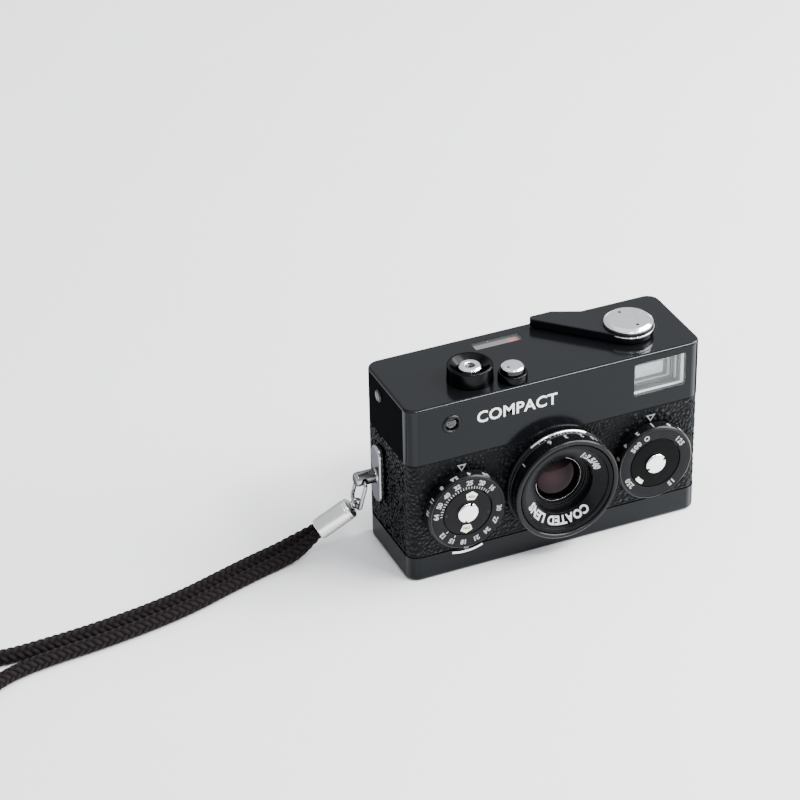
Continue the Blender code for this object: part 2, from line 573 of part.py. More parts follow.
def make_lens():
    at = (0, FRONT, LENS_Z)
    front = BARREL_FRONT
    turned("lens_flange", ((13.9, 0.1), (14.8, 0.1), (15.0, -0.1), (15.0, -0.9), (13.9, -0.9)),
           "black_metal", at, "front", steps=28, ring=True)
    turned("lens_tube", ((12.5, 0.2), (TUBE_RADIUS, 0.2), (TUBE_RADIUS, -20.0), (12.5, -20.0)),
           "chrome", at, "front", steps=24, ring=True)
    turned("shutter_housing",
           ((9.7, 4.5), (13.0, 4.5), (13.0, 3.0), (BARREL_RADIUS - 0.4, 3.0), (BARREL_RADIUS, 2.7),
            (BARREL_RADIUS, 0.8), (BARREL_RADIUS - 0.3, 0.5), (9.7, 0.5)),
           "black_metal", at, "front", steps=32, ring=True)
    turned("lens_cell", ((9.7, 0.2), (12.1, 0.2), (12.1, -11.0), (9.7, -11.0)), "black_metal", at,
           "front", steps=28, ring=True)
    turned("aperture_blades", ((3.2, -4.1), (9.3, -4.1), (9.3, -4.5), (3.2, -4.5)), "steel", at,
           "front", steps=24, ring=True)
    turned("rear_lens", ((0, -6.6), (5.0, -6.9), (GLASS_RADIUS, -7.8), (GLASS_RADIUS, -10.0), (0, -9.4)),
           "glass", at, "front", steps=24)
    turned("focus_ring",
           ((BARREL_RADIUS - 1.6, front), (BARREL_RADIUS - 0.3, front), (BARREL_RADIUS, front - 0.3),
            (BARREL_RADIUS, 3.3), (13.3, 3.3), (13.3, 5.2), (BARREL_RADIUS - 1.6, 5.2)),
           "black_metal", at, "front", steps=32, ring=True)
    turned("name_ring",
           ((9.6, 4.9), (13.6, 6.6), (14.2, front - 0.3), (15.1, front - 0.3), (15.1, 5.5), (12.9, 5.5),
            (12.9, 4.85), (9.6, 4.85)),
           "black_metal", at, "front", steps=30, ring=True)
    turned("front_lens",
           ((0, 4.9), (3.6, 4.7), (6.8, 4.1), (GLASS_RADIUS, 3.3), (GLASS_RADIUS, -1.5), (0, -1.5)),
           "glass", at, "front", steps=24)


# ---------------------------------------------------------------- front dials

def make_dial(x, dial_name, disc_name, screw_name):
    at = (x, FRONT, DIAL_Z)
    edge = DIAL_RADIUS
    turned(dial_name,
           ((0, 3.2), (DISC_RADIUS + 0.3, 3.2), (DISC_RADIUS + 0.3, DIAL_HEIGHT),
            (DIAL_FACE_RADIUS, DIAL_HEIGHT), (edge, 3.4), (edge, 0.5), (edge - 0.2, GAP), (4.0, GAP),
            (4.0, -2.3), (0, -2.3)), "black_metal", at, "front", steps=30)
    turned(disc_name,
           ((0, 4.1), (DISC_RADIUS - 0.2, 4.1), (DISC_RADIUS, 3.9), (DISC_RADIUS, 3.5), (0, 3.5)),
           "black_metal", at, "front", steps=24)
    screw = turned(screw_name, ((0, 5.1), (3.0, 5.1), (3.3, 4.8), (3.3, 4.4), (0, 4.4)),
                   "aluminium", at, "front", steps=24)
    nicks = [block(f"{screw_name}_nick_{end}", (x - 0.5, FRONT - 6.0, DIAL_Z + end * 2.7),
                   (x + 0.5, FRONT - 4.8, DIAL_Z + end * 4.0)) for end in (-1, 1)]
    cut(screw, *nicks)


def make_dials():
    make_dial(-DIAL_X, "aperture_dial", "film_speed_disc", "aperture_dial_screw")
    make_dial(DIAL_X, "shutter_speed_dial", "film_type_disc", "speed_dial_screw")
    at = (-DIAL_X, FRONT, DIAL_Z)
    tab = arc((0.0, 0.0), 15.6, 254, 294, 8) + arc((0.0, 0.0), 14.6, 294, 254, 8)
    lever = plate("dial_lock_lever", tab, GAP, 2.3, "chrome", at, "front")
    join(lever,
         block("lock_web", (-31.6, FRONT - 1.4, 8.3), (-29.6, FRONT - GAP, 10.4)),
         block("lock_stem", (-31.4, FRONT - 1.0, 9.3), (-29.8, FRONT + 2.2, 10.4)))


# ---------------------------------------------------------------- back and base

def make_back_cover():
    cx, cy = CARTRIDGE_AXIS
    cover = block("back_cover", (-HALF, FRONT, 0), (HALF, BACK, COVER_SEAM - GAP), "black_paint",
                  corner=CORNER, steps=4, rim=RIM, rim_top=False)
    cut(cover,
        block("above_tray", (-60, FRONT - 5, BASE_SEAM), (60, BACK_INNER, 50)),
        block("tray_room", (-HALF + WALL, FRONT + WALL, 1.2), (HALF - WALL, BACK_INNER, BASE_SEAM + 1),
              corner=3.0, front_only=True))
    join(cover,
         block("shoe_well", (SHOE_X - 11.4, -10.8, 0.6), (SHOE_X + 11.4, 14.0, 4.2)),
         rod("crank_well", 9.6, 0.6, 3.6, (cx, cy, 0), segments=22),
         rod("latch_well", 6.9, 0.6, 3.6, (LATCH_X, 0, 0), segments=20))
    cut(cover,
        block("shoe_pocket", (SHOE_X - 10.5, -9.9, -1), (SHOE_X + 10.5, BACK + 1, 3.2)),
        rod("crank_pocket", 8.6, -1, 2.7, (cx, cy, 0), segments=22),
        rod("crank_bore", 2.4, 2, 5, (cx, cy, 0)),
        rod("latch_pocket", 6.0, -1, 2.7, (LATCH_X, 0, 0), segments=20),
        rod("latch_bore", 1.9, 2, 5, (LATCH_X, 0, 0)),
        rod("tripod_hole", 4.9, -1, 2, (TRIPOD_X, 0, 0), segments=20),
        rod("counter_opening", 2.5, -1, 2, (COUNTER_WINDOW_X, 0, 0), segments=20),
        block("back_recess", (-43.5, BACK - 0.8, 9.4), (43.5, BACK + 1, 39.6), corner=1.5, axis=1))


def make_base_fittings():
    block("back_leatherette", (-43.2, BACK - 0.5, 9.7), (43.2, BACK + 0.1, 39.3), "leatherette",
          corner=1.3, axis=1)
    shoe = block("hot_shoe", (SHOE_X - 10.1, -9.4, 0.3), (SHOE_X + 10.1, 9.4, 2.9), "chrome")
    cut(shoe,
        block("shoe_slot", (SHOE_X - 9.3, -8.6, 0.9), (SHOE_X + 9.3, 11, 2.2)),
        block("shoe_mouth", (SHOE_X - 6.3, -8.6, -1), (SHOE_X + 6.3, 11, 1.5)))
    turned("shoe_contact", ((0, 2.0), (1.4, 2.0), (1.4, 1.6), (0, 1.2)), "steel",
           (SHOE_X, 0, 0), steps=16)
    turned("tripod_bush", ((3.2, 4.3), (4.6, 4.3), (4.6, 0.0), (3.2, 0.0)), "steel",
           (TRIPOD_X, 0, 0), steps=32, ring=True)
    turned("counter_window", ((0, 1.0), (2.2, 1.0), (2.2, 0.2), (0, 0.2)), "glass",
           (COUNTER_WINDOW_X, 0, 0), steps=18)


def make_latch():
    at = (LATCH_X, 0, 0)
    turned("back_latch", ((0, 7.4), (1.6, 7.4), (1.6, 2.3), (5.6, 2.3), (5.6, 1.6), (0, 1.6)),
           "chrome", at, steps=28)
    wing = arc((0.0, 0.0), 5.5, 8, 172, 12)
    plate("latch_wing", wing, 0.4, 1.2, "chrome", at)


def make_rewind():
    cx, cy = CARTRIDGE_AXIS
    shaft = turned("rewind_shaft", ((0, 9.6), (2.0, 9.6), (2.0, 2.4), (8.2, 2.4), (8.2, 1.7), (0, 1.7)),
                   "chrome", (cx, cy, 0), steps=28)
    join(shaft, block("rewind_fork", (cx - 0.6, cy - 2.2, 9.0), (cx + 0.6, cy + 2.2, 14.0)))
    pivot_x = cx - 5.6
    crank = block("rewind_crank", (pivot_x - 0.5, cy - 1.6, 0.4), (cx + 5.6, cy + 1.6, 1.3), "chrome",
                  pivot=(pivot_x, cy, 0.85))
    join(crank, rod("crank_knob", 2.5, 0.35, 1.35, (cx + 5.4, cy, 0), segments=20))


# ---------------------------------------------------------------- strap

def make_strap_lug():
    at = (-HALF - GAP, POST_Y - 0.2, 27.6)
    oval = plate("strap_plate", [(y, x) for x, y in slot_outline(19.6, 6.4)][::-1], 0.0, 1.8, "chrome", at,
                 "left")
    cut(oval, rod("plate_hole", 2.5, -1, 3, (-HALF, POST_Y, POST_Z), "left"))
    post = turned("strap_post", ((0, 10.2), (1.9, 10.2), (2.2, 9.9), (2.2, 0.0), (0, 0.0)), "steel",
                  (-HALF + 1.7, POST_Y, POST_Z), "left", steps=24)
    cut(post, rod("link_hole", 1.15, -4, 4, POST_HOLE, "back", segments=16))


def link_points(drop):
    """A long link with round corners, hung by its upper end in the post and holding the eye."""
    down = (EYE - POST_HOLE).normalized()
    across = Vector((0, 1, 0)) - down * down.y
    across.normalize()
    radius = 1.3
    side, end = LINK_HALF_WIDTH - radius, drop / 2 - radius
    outline = []
    for sx, sy, start in ((1, 1, 0), (-1, 1, 90), (-1, -1, 180), (1, -1, 270)):
        outline += arc((sx * side, sy * end), radius, start, start + 90, 4)
    middle = (EYE + POST_HOLE) / 2
    return [middle + across * x + down * y for x, y in outline]


def make_strap():
    link = tube("strap_link", link_points((EYE - POST_HOLE).length), WIRE_RADIUS, "steel", POST_HOLE,
                closed=True)
    joint_empty("link_swing", POST_HOLE, [link])

    along = (FERRULE_TOWARDS - EYE).normalized()
    start, end = FERRULE_SPAN
    tilt = Vector((0, 0, 1)).rotation_difference(along).to_euler()
    ferrule = turned("strap_ferrule",
                     ((0, end), (FERRULE_RADIUS - 0.2, end), (FERRULE_RADIUS, end - 0.3),
                      (FERRULE_RADIUS, start + 0.6), (2.2, start), (0, start)), "aluminium", EYE, steps=24)
    ferrule.rotation_euler = tilt
    eye_outer = rod("eye_outer", 2.0, -1.2, 1.2, EYE, "back")
    neck = rod("eye_neck", 1.15, 1.4, start + 0.8, EYE, segments=12)
    neck.rotation_euler = tilt
    join(ferrule, eye_outer, neck)
    cut(ferrule, rod("eye_hole", 1.1, -3, 3, EYE, "back", segments=16))

    points = smooth_route(CORD_ROUTE, CORD_STEP)
    ends = (points[0], points[-1])
    radii = []
    for point in points:
        near = min((point - end_point).length for end_point in ends)
        share = min(near / CORD_TAPER, 1.0)
        radii.append((CORD_END_RADIUS + (CORD_DIAMETER / 2 - CORD_END_RADIUS) * share)
                     / (CORD_DIAMETER / 2))
    cord = tube("wrist_cord", points, CORD_DIAMETER / 2, "cord", EYE, radii=radii)
    joint_empty("ferrule_swing", EYE, [ferrule, cord])


make_chassis()
make_pressure_plate()
make_front_leatherette()
make_top_cover()
make_cover_screws()
make_finder()
make_meter()
make_buttons()
make_lever()
make_rewind_release()
make_transport()
make_lens()
make_dials()
make_back_cover()
make_base_fittings()
make_latch()
make_rewind()
make_strap_lug()
make_strap()
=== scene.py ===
import json
import math

import bmesh
import bpy
import numpy as np
from mathutils import Matrix, Vector, noise


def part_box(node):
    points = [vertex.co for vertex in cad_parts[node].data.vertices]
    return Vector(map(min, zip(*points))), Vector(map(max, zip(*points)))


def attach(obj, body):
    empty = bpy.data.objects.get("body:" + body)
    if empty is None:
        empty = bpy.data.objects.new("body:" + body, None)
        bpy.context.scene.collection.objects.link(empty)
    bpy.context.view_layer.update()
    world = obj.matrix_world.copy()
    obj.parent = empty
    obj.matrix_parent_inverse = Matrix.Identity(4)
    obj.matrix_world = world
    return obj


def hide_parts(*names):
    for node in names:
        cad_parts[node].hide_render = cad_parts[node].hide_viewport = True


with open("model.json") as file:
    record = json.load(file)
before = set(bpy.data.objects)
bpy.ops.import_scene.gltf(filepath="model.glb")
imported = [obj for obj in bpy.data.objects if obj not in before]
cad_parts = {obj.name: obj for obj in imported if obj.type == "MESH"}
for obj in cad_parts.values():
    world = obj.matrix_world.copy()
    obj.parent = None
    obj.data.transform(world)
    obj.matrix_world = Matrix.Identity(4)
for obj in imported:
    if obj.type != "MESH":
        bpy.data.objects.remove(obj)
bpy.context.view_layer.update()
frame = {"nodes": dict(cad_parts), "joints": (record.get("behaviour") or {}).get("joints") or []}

# Sizes are in millimetres, as in the CAD, and MM turns them into metres.
MM = 0.001


def corners(node):
    """The lowest and highest corner of a CAD node, in millimetres."""
    low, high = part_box(node)
    return low / MM, high / MM


def middle(node):
    low, high = corners(node)
    return (low + high) / 2


COVER_LOW, COVER_HIGH = corners("top_cover")
FRONT, BACK = COVER_LOW.y, COVER_HIGH.y
HALF = COVER_HIGH.x
HEIGHT = COVER_HIGH.z
COVER_SEAM = COVER_LOW.z
WALL = 1.1                                   # sheet of the top cover and the back
SKIN_LOW, SKIN_HIGH = corners("front_leatherette")
BASE_SEAM = SKIN_LOW.z - 0.3
BACK_SKIN_LOW, BACK_SKIN_HIGH = corners("back_leatherette")
BACK_INNER = SKIN_HIGH.y + 0.3
CORNER = 4.0                                 # radius of the upright corners
RIM = 0.9                                    # rounding of the upper and lower rims


def on_front(node):
    """The place on the front that a CAD node is centred on."""
    at = middle(node)
    return Vector((at.x, FRONT, at.z))


def on_base(at):
    """The place on the base under a point."""
    return Vector((at.x, at.y, 0.0))


JOINT_AT = {joint["name"]: Vector(joint.get("pos_m", (0, 0, 0))) / MM for joint in frame["joints"]}
LENS, CELL = on_front("lens_tube"), on_front("cell_bezel")
LEFT_DIAL, RIGHT_DIAL = on_front("aperture_dial"), on_front("shutter_speed_dial")
HUB, RELEASE = on_base(middle("lever_cap")), on_base(middle("release_collar"))
LENS_BUTTON = on_base(middle("lens_button_collar"))
BUSH, COUNTER_WINDOW = on_base(middle("tripod_bush")), on_base(middle("counter_window"))
CRANK, LATCH = on_base(JOINT_AT["rewind_turn"]), on_base(JOINT_AT["latch_turn"])
POST_HOLE, EYE = JOINT_AT["link_swing"], JOINT_AT["ferrule_swing"]

DIAL_RADIUS = 12.6
DIAL_FACE, DIAL_DISC = 4.2, 4.18             # levels of a dial's scale and of its inner disc
FOCUS_RADIUS, BARREL_RADIUS = 16.98, 16.9    # outsides of the focus ring and the ring behind it
SKIN_RELIEF = 0.36                           # depth of the leatherette's creases
IRIS_LEAVES = 5

# The view: its camera's place in metres, angles in degrees and focal length in millimetres.
CAMERA_AT = Vector((-0.33219, -0.68144, 0.51677))
CAMERA_AZIMUTH, CAMERA_ELEVATION, CAMERA_ROLL = -22.937, 31.988, -1.243
CAMERA_LENS = 133.2

FACING = {                                   # where a piece's own +Z points
    "up": Matrix.Identity(4),
    "down": Matrix.Rotation(math.pi, 4, "X"),
    "front": Matrix.Rotation(math.pi / 2, 4, "X"),
    "back": Matrix.Rotation(-math.pi / 2, 4, "X"),
    "left": Matrix.Rotation(-math.pi / 2, 4, "Y"),
    "right": Matrix.Rotation(math.pi / 2, 4, "Y"),
}

CORD_DIAMETER = 4.6
CORD_END_RADIUS = 1.6                        # where it goes into the ferrule
CORD_TAPER = 9.0                             # length over which it narrows to that
BRAID_STRANDS, BRAID_LEAD = 6, 13.8          # strands each way, and the length of one of their turns
CORD_ROUTE = (
    (-67.2, 11.5, 8.9), (-70.6, 12.7, 6.4), (-75.0, 13.1, 4.3), (-80.4, 12.9, 2.9), (-86.6, 11.8, 2.4),
    (-93.7, 9.7, 2.4), (-101.8, 7.1, 2.4), (-110.7, 4.3, 2.4), (-120.5, 1.9, 2.4), (-131.4, 0.0, 2.4),
    (-143.2, -1.5, 2.4), (-156.0, -2.4, 2.4), (-171.0, -2.6, 2.4), (-184.0, 0.4, 2.4), (-196.0, 5.8, 2.4),
    (-208.5, 11.0, 2.4), (-221.0, 10.4, 2.4), (-231.0, 3.4, 2.4), (-235.5, -8.0, 2.4), (-232.5, -19.5, 2.4),
    (-223.0, -28.0, 2.4), (-210.0, -30.6, 2.4), (-197.5, -27.0, 2.4), (-186.0, -19.8, 2.4),
    (-175.0, -12.9, 2.4), (-165.5, -9.9, 2.4), (-155.5, -8.5, 2.4), (-142.8, -7.3, 2.4), (-130.6, -5.6, 2.4),
    (-119.5, -3.5, 2.4), (-109.4, -0.8, 2.4), (-100.2, 2.3, 2.4), (-92.3, 4.8, 2.4), (-85.6, 6.8, 2.4),
    (-79.8, 7.9, 2.9), (-75.0, 8.3, 4.3), (-71.4, 8.5, 6.4), (-68.3, 8.2, 8.9),
)


# ---------------------------------------------------------------- materials

def shade(colour, factor):
    """A lighter or darker shade of a colour."""
    return tuple(min(channel * factor, 1.0) for channel in colour)


class Finish:
    """A Principled material, and short words for wiring its procedural nodes. Scales are in mm."""

    def __init__(self, colour, roughness=0.5, metallic=0.0, **inputs):
        self.material = bpy.data.materials.new("look")
        self.material.use_nodes = True
        self.tree = self.material.node_tree
        self.shader = self.tree.nodes["Principled BSDF"]
        self.set("Base Color", (*colour, 1.0))
        self.set("Roughness", roughness)
        self.set("Metallic", metallic)
        for key, value in inputs.items():
            self.set(key.replace("_", " "), value)
        self.material.diffuse_color = (*colour, 1.0)
        self.point = self.scaled((1.0, 1.0, 1.0))

    def set(self, socket, value):
        self.shader.inputs[socket].default_value = value

    def wire(self, source, socket):
        self.tree.links.new(source, self.shader.inputs[socket])

    def node(self, kind, inputs=(), **settings):
        """Add a node. Inputs are (socket, value or source) pairs."""
        node = self.tree.nodes.new(kind)
        for key, value in settings.items():
            setattr(node, key, value)
        for socket, value in inputs:
            if isinstance(value, bpy.types.NodeSocket):
                self.tree.links.new(value, node.inputs[socket])
            else:
                node.inputs[socket].default_value = value
        return node

    def scaled(self, stretch):
        """The piece's own coordinates in millimetres, each axis times its stretch."""
        coordinates = self.node("ShaderNodeTexCoord").outputs["Object"]
        scale = tuple(factor / MM for factor in stretch)
        return self.node("ShaderNodeVectorMath", ((0, coordinates), (1, scale)),
                         operation="MULTIPLY").outputs[0]

    def polar(self):
        """Radius from the piece's own Z axis, in millimetres."""
        flat = self.node("ShaderNodeVectorMath", ((0, self.point), (1, (1.0, 1.0, 0.0))),
                         operation="MULTIPLY").outputs[0]
        return self.node("ShaderNodeVectorMath", ((0, flat),), operation="LENGTH").outputs["Value"]

    def noise(self, per_mm, detail=3.0, point=None, rough=0.5):
        return self.node("ShaderNodeTexNoise", (("Vector", point or self.point), ("Scale", per_mm),
                                                ("Detail", detail), ("Roughness", rough))).outputs["Fac"]

    def rings(self, per_mm, detail=2.0):
        """Fine turning marks around the piece's own axis."""
        return self.node("ShaderNodeTexNoise", (("W", self.polar()), ("Scale", per_mm),
                                                ("Detail", detail)), noise_dimensions="1D").outputs["Fac"]

    def cells(self, per_mm, feature="F1", point=None):
        return self.node("ShaderNodeTexVoronoi", (("Vector", point or self.point), ("Scale", per_mm)),
                         feature=feature).outputs["Distance"]

    def span(self, value, low, high, new_low, new_high):
        return self.node("ShaderNodeMapRange", ((0, value), (1, low), (2, high), (3, new_low),
                                                (4, new_high))).outputs[0]

    def maths(self, operation, a, b):
        return self.node("ShaderNodeMath", ((0, a), (1, b)), operation=operation).outputs[0]

    def mixed(self, share, first, second):
        """A colour between two colours, each a colour or a socket."""
        mix = self.node("ShaderNodeMix", ((0, share),), data_type="RGBA")
        for index, colour in ((6, first), (7, second)):
            if isinstance(colour, bpy.types.NodeSocket):
                self.tree.links.new(colour, mix.inputs[index])
            else:
                mix.inputs[index].default_value = (*colour, 1.0)
        return mix.outputs[2]

    def blotches(self, per_mm, detail, low, high, rough=0.5):
        """0 to 1 in uneven patches."""
        return self.span(self.noise(per_mm, detail, rough=rough), low, high, 0.0, 1.0)

    def paint(self, share, first, second):
        self.wire(self.mixed(share, first, second), "Base Color")

    def relief(self, height, depth, under=None):
        self.wire(self.bump(height, depth, under), "Normal")

    def roughen(self, value, low, high, new_low, new_high):
        self.wire(self.span(value, low, high, new_low, new_high), "Roughness")

    def bump(self, height, depth, under=None):
        """Relief this many millimetres deep, over any relief that is there already."""
        inputs = [("Height", height), ("Distance", depth * MM), ("Strength", 1.0)]
        if under is not None:
            inputs.append(("Normal", under))
        return self.node("ShaderNodeBump", inputs).outputs[0]

    def deep_gloss(self, level, skimming=0.001, square_on=2.5):
        """Specular level that dies away at skimming angles, as on deep black paint."""
        facing = self.node("ShaderNodeLayerWeight", (("Blend", 0.5),)).outputs["Facing"]
        near = self.span(facing, 0.08, 0.20, level * square_on, level)
        rise = self.span(facing, 0.25, 0.45, 1.0, 2.4)
        fall = self.span(facing, 0.50, 0.61, 1.0, skimming)
        self.wire(self.maths("MULTIPLY", self.maths("MULTIPLY", near, rise), fall), "Specular IOR Level")
        self.set("Specular Tint", (0.90, 0.97, 1.0, 1.0))

    def worn_edges(self, radius, threshold=0.06):
        """1 on sharp outer edges, broken up so that the wear is uneven, and 0 elsewhere."""
        round_normal = self.node("ShaderNodeBevel", (("Radius", radius * MM),), samples=6).outputs[0]
        true_normal = self.node("ShaderNodeNewGeometry").outputs["Normal"]
        dot = self.node("ShaderNodeVectorMath", ((0, round_normal), (1, true_normal)),
                        operation="DOT_PRODUCT").outputs["Value"]
        bend = self.span(dot, 1.0, 1.0 - threshold * 4, 0.0, 1.0)
        return self.maths("MULTIPLY", bend, self.blotches(0.9, 5.0, 0.50, 0.66, 0.7))


def enamel(colour=(0.0030, 0.0032, 0.0040), roughness=0.15, wear=0.35, gloss=0.145, skimming=0.001):
    """Black gloss enamel: faint orange peel, handling marks, dust and rubbed edges."""
    f = Finish(colour, roughness)
    f.deep_gloss(gloss, skimming)
    haze = f.span(f.noise(0.10, 5.0, rough=0.6), 0.35, 0.70, -0.02, 0.05)
    fine = f.span(f.noise(3.0, 2.0), 0.3, 0.7, -0.01, 0.02)
    f.wire(f.maths("ADD", f.maths("ADD", haze, fine), roughness), "Roughness")
    dust = f.span(f.cells(1.5), 0.05, 0.02, 0.0, 0.5)
    gathered = f.maths("MULTIPLY", dust, f.blotches(0.16, 3.0, 0.5, 0.62))
    dusty = f.mixed(gathered, colour, (0.10, 0.10, 0.10))
    rubbed = f.maths("MULTIPLY", f.worn_edges(0.22), wear)
    f.paint(rubbed, dusty, (0.12, 0.10, 0.08))
    f.relief(f.noise(0.9, 2.0), 0.002)
    return f.material


def leather():
    """Black pebbled leatherette. The large pebbles are in the mesh, and this adds their fine grain, painted
    highlights on the pebble crowns and painted shade in the creases.
    """
    f = Finish((0.004, 0.0043, 0.005), 0.36)
    f.deep_gloss(0.10, square_on=1.0)
    crown = f.node("ShaderNodeAttribute", attribute_name="crown").outputs["Fac"]
    grain = f.noise(5.0, 4.0, rough=0.6)
    patchy = f.span(f.noise(0.7, 3.0), 0.38, 0.62, 0.1, 1.0)
    # Painted highlight and shade: the colour is lighter on the pebble crowns and darker in the creases,
    # broken up at random by the patchy noise.
    painted_crown_light = f.maths("MULTIPLY", f.span(crown, 0.70, 0.98, 0.0, 1.0), patchy)
    f.paint(painted_crown_light, (0.0008, 0.0008, 0.0011), (0.0190, 0.0208, 0.0235))
    f.roughen(f.maths("ADD", crown, grain), 0.3, 1.6, 0.60, 0.28)
    f.relief(grain, 0.02)
    return f.material


def anodised(colour=(0.006, 0.0062, 0.007), roughness=0.30, turned_marks=True, gloss=0.18):
    """Black anodised metal with the marks of the lathe."""
    f = Finish(colour, roughness, 0.0, Specular_IOR_Level=gloss)
    marks = f.rings(22.0, 3.0) if turned_marks else f.noise(6.0)
    f.roughen(marks, 0.3, 0.7, roughness - 0.07, roughness + 0.09)
    smudge = f.blotches(0.35, 5.0, 0.35, 0.75)
    f.paint(smudge, colour, shade(colour, 1.7))
    f.relief(marks, 0.003)
    return f.material


def turned_metal(colour, roughness, depth=0.004, per_mm=26.0, polished=0.10, painted_wall_shade=1.0):
    """Bright metal with spun faces, a little tarnish and fine scratches. The wall factor scales the sides'
    colour, and below 1 it is painted shade on the sides.
    """
    f = Finish(colour, roughness, 1.0)
    marks = f.rings(per_mm, 4.0)
    scratches = f.noise(2.2, 4.0, f.scaled((0.12, 2.4, 1.0)))
    worn = f.span(f.maths("ADD", marks, scratches), 0.6, 1.4, -0.06, 0.12)
    direction = f.node("ShaderNodeTexCoord").outputs["Normal"]
    normal = f.node("ShaderNodeSeparateXYZ", ((0, direction),)).outputs["Z"]
    level = f.span(f.maths("POWER", normal, 2.0), 0.75, 0.97, polished, roughness)
    f.wire(f.maths("MAXIMUM", f.maths("ADD", worn, level), 0.04), "Roughness")
    tarnish = f.blotches(0.5, 6.0, 0.52, 0.78, 0.7)
    face = f.mixed(tarnish, colour, shade(colour, 0.85))
    # Painted shade: the sides take the colour times the wall factor, so a factor below 1 darkens them where
    # they would mirror the bright floor.
    f.paint(f.span(normal, 0.15, 0.45, 0.0, 1.0), shade(colour, painted_wall_shade), face)
    f.relief(marks, depth)
    return f.material


def plain_metal(colour, roughness, stretch=(1.0, 1.0, 1.0), depth=0.003, edge_tint=1.0):
    """Bright sheet or wire with brushed lines along one direction."""
    f = Finish(colour, roughness, 1.0)
    brushed = f.noise(3.0, 5.0, f.scaled(stretch), 0.65)
    f.roughen(brushed, 0.3, 0.7, roughness - 0.08, roughness + 0.12)
    dull = f.blotches(0.6, 6.0, 0.5, 0.8, 0.7)
    f.paint(dull, colour, shade(colour, 0.80))
    f.set("Specular Tint", (edge_tint, edge_tint, edge_tint, 1.0))
    f.relief(brushed, depth)
    return f.material


def plastic(colour, roughness=0.5):
    """Moulded plastic with a fine spark-eroded grain."""
    f = Finish(colour, roughness)
    grain = f.noise(7.0, 3.0)
    f.roughen(grain, 0.3, 0.7, roughness - 0.06, roughness + 0.08)
    f.paint(f.blotches(0.4, 3.0, 0.35, 0.7), colour, shade(colour, 1.35))
    f.relief(grain, 0.006)
    return f.material


def ink(colour, roughness=0.55):
    """Paint filled into engraving, slightly uneven."""
    f = Finish(colour, roughness)
    f.paint(f.blotches(3.5, 4.0, 0.45, 0.75), colour, shade(colour, 0.72))
    f.relief(f.noise(9.0), 0.004)
    return f.material


def glass(tint, see_through, roughness=0.02):
    """Clear glass: mostly what is behind it, with a faint tint and the surface's own reflections."""
    f = Finish(tint, roughness, Specular_IOR_Level=1.0)
    cloud = f.noise(0.25, 5.0, rough=0.7)
    f.roughen(cloud, 0.50, 0.80, roughness, roughness + 0.06)
    f.wire(f.span(cloud, 0.35, 0.75, 1.0 - see_through, 1.03 - see_through), "Alpha")
    return f.material


def dark_glass(colour, tint, roughness=0.05):
    """A coated glass surface with darkness behind it, whose reflections take the coating's tint, and a
    painted reflection: a lighter, glossier patch round one point of the glass.
    """
    f = Finish(colour, roughness, Specular_IOR_Level=0.38)
    f.set("Specular Tint", (*tint, 1.0))
    # Painted reflection: the colour is lighter and the specular level higher near one point of the glass, and
    # both fall away from it.
    away = f.node("ShaderNodeVectorMath", ((0, f.point), (1, (-3.0, 2.2, 0.0))), operation="DISTANCE")
    depth = f.span(away.outputs["Value"], 1.5, 6.0, 0.0, 1.0)
    f.paint(depth, shade(colour, 3.2), shade(colour, 0.15))
    f.wire(f.span(away.outputs["Value"], 2.0, 7.0, 0.36, 0.12), "Specular IOR Level")
    f.roughen(f.noise(0.25, 5.0, rough=0.7), 0.50, 0.80, roughness, roughness + 0.05)
    return f.material


def braid():
    """Dark brown-black cord. The strands are in the mesh, and this adds their filaments, painted light on the
    strands' crowns and painted shade between them.
    """
    f = Finish((0.006, 0.004, 0.004), 0.85, Specular_IOR_Level=0.12, Sheen_Weight=0.02,
               Sheen_Roughness=0.45)
    crown = f.node("ShaderNodeAttribute", attribute_name="crown").outputs["Fac"]
    filaments = f.node("ShaderNodeAttribute", attribute_name="filament").outputs["Fac"]
    fluff = f.noise(2.6, 6.0, rough=0.7)
    # Painted light and shade: the colour is dark in the valleys between the strands and light on their
    # crowns, with random fluff on top.
    lit = f.span(crown, 0.25, 0.95, 0.04, 1.0)
    f.paint(f.maths("MULTIPLY", lit, f.span(fluff, 0.25, 0.75, 0.55, 1.35)),
            (0.0003, 0.0002, 0.0002), (0.0098, 0.0058, 0.0066))
    thread = f.node("ShaderNodeMath", ((0, filaments),), operation="SINE").outputs[0]
    f.relief(thread, 0.05, f.bump(fluff, 0.06))
    f.roughen(crown, 0.0, 1.0, 0.95, 0.72)
    return f.material


def finder_glow(colour, strength):
    """Ground and mirrored finder surfaces, which glow with painted light that stands in for the light from
    the eyepiece.
    """
    f = Finish(colour, 0.25)
    f.set("Emission Color", (*colour, 1.0))
    f.wire(f.span(f.noise(0.35, 3.0), 0.3, 0.7, strength * 0.8, strength * 1.15), "Emission Strength")
    f.paint(f.noise(1.2, 4.0), colour, shade(colour, 0.85))
    return f.material


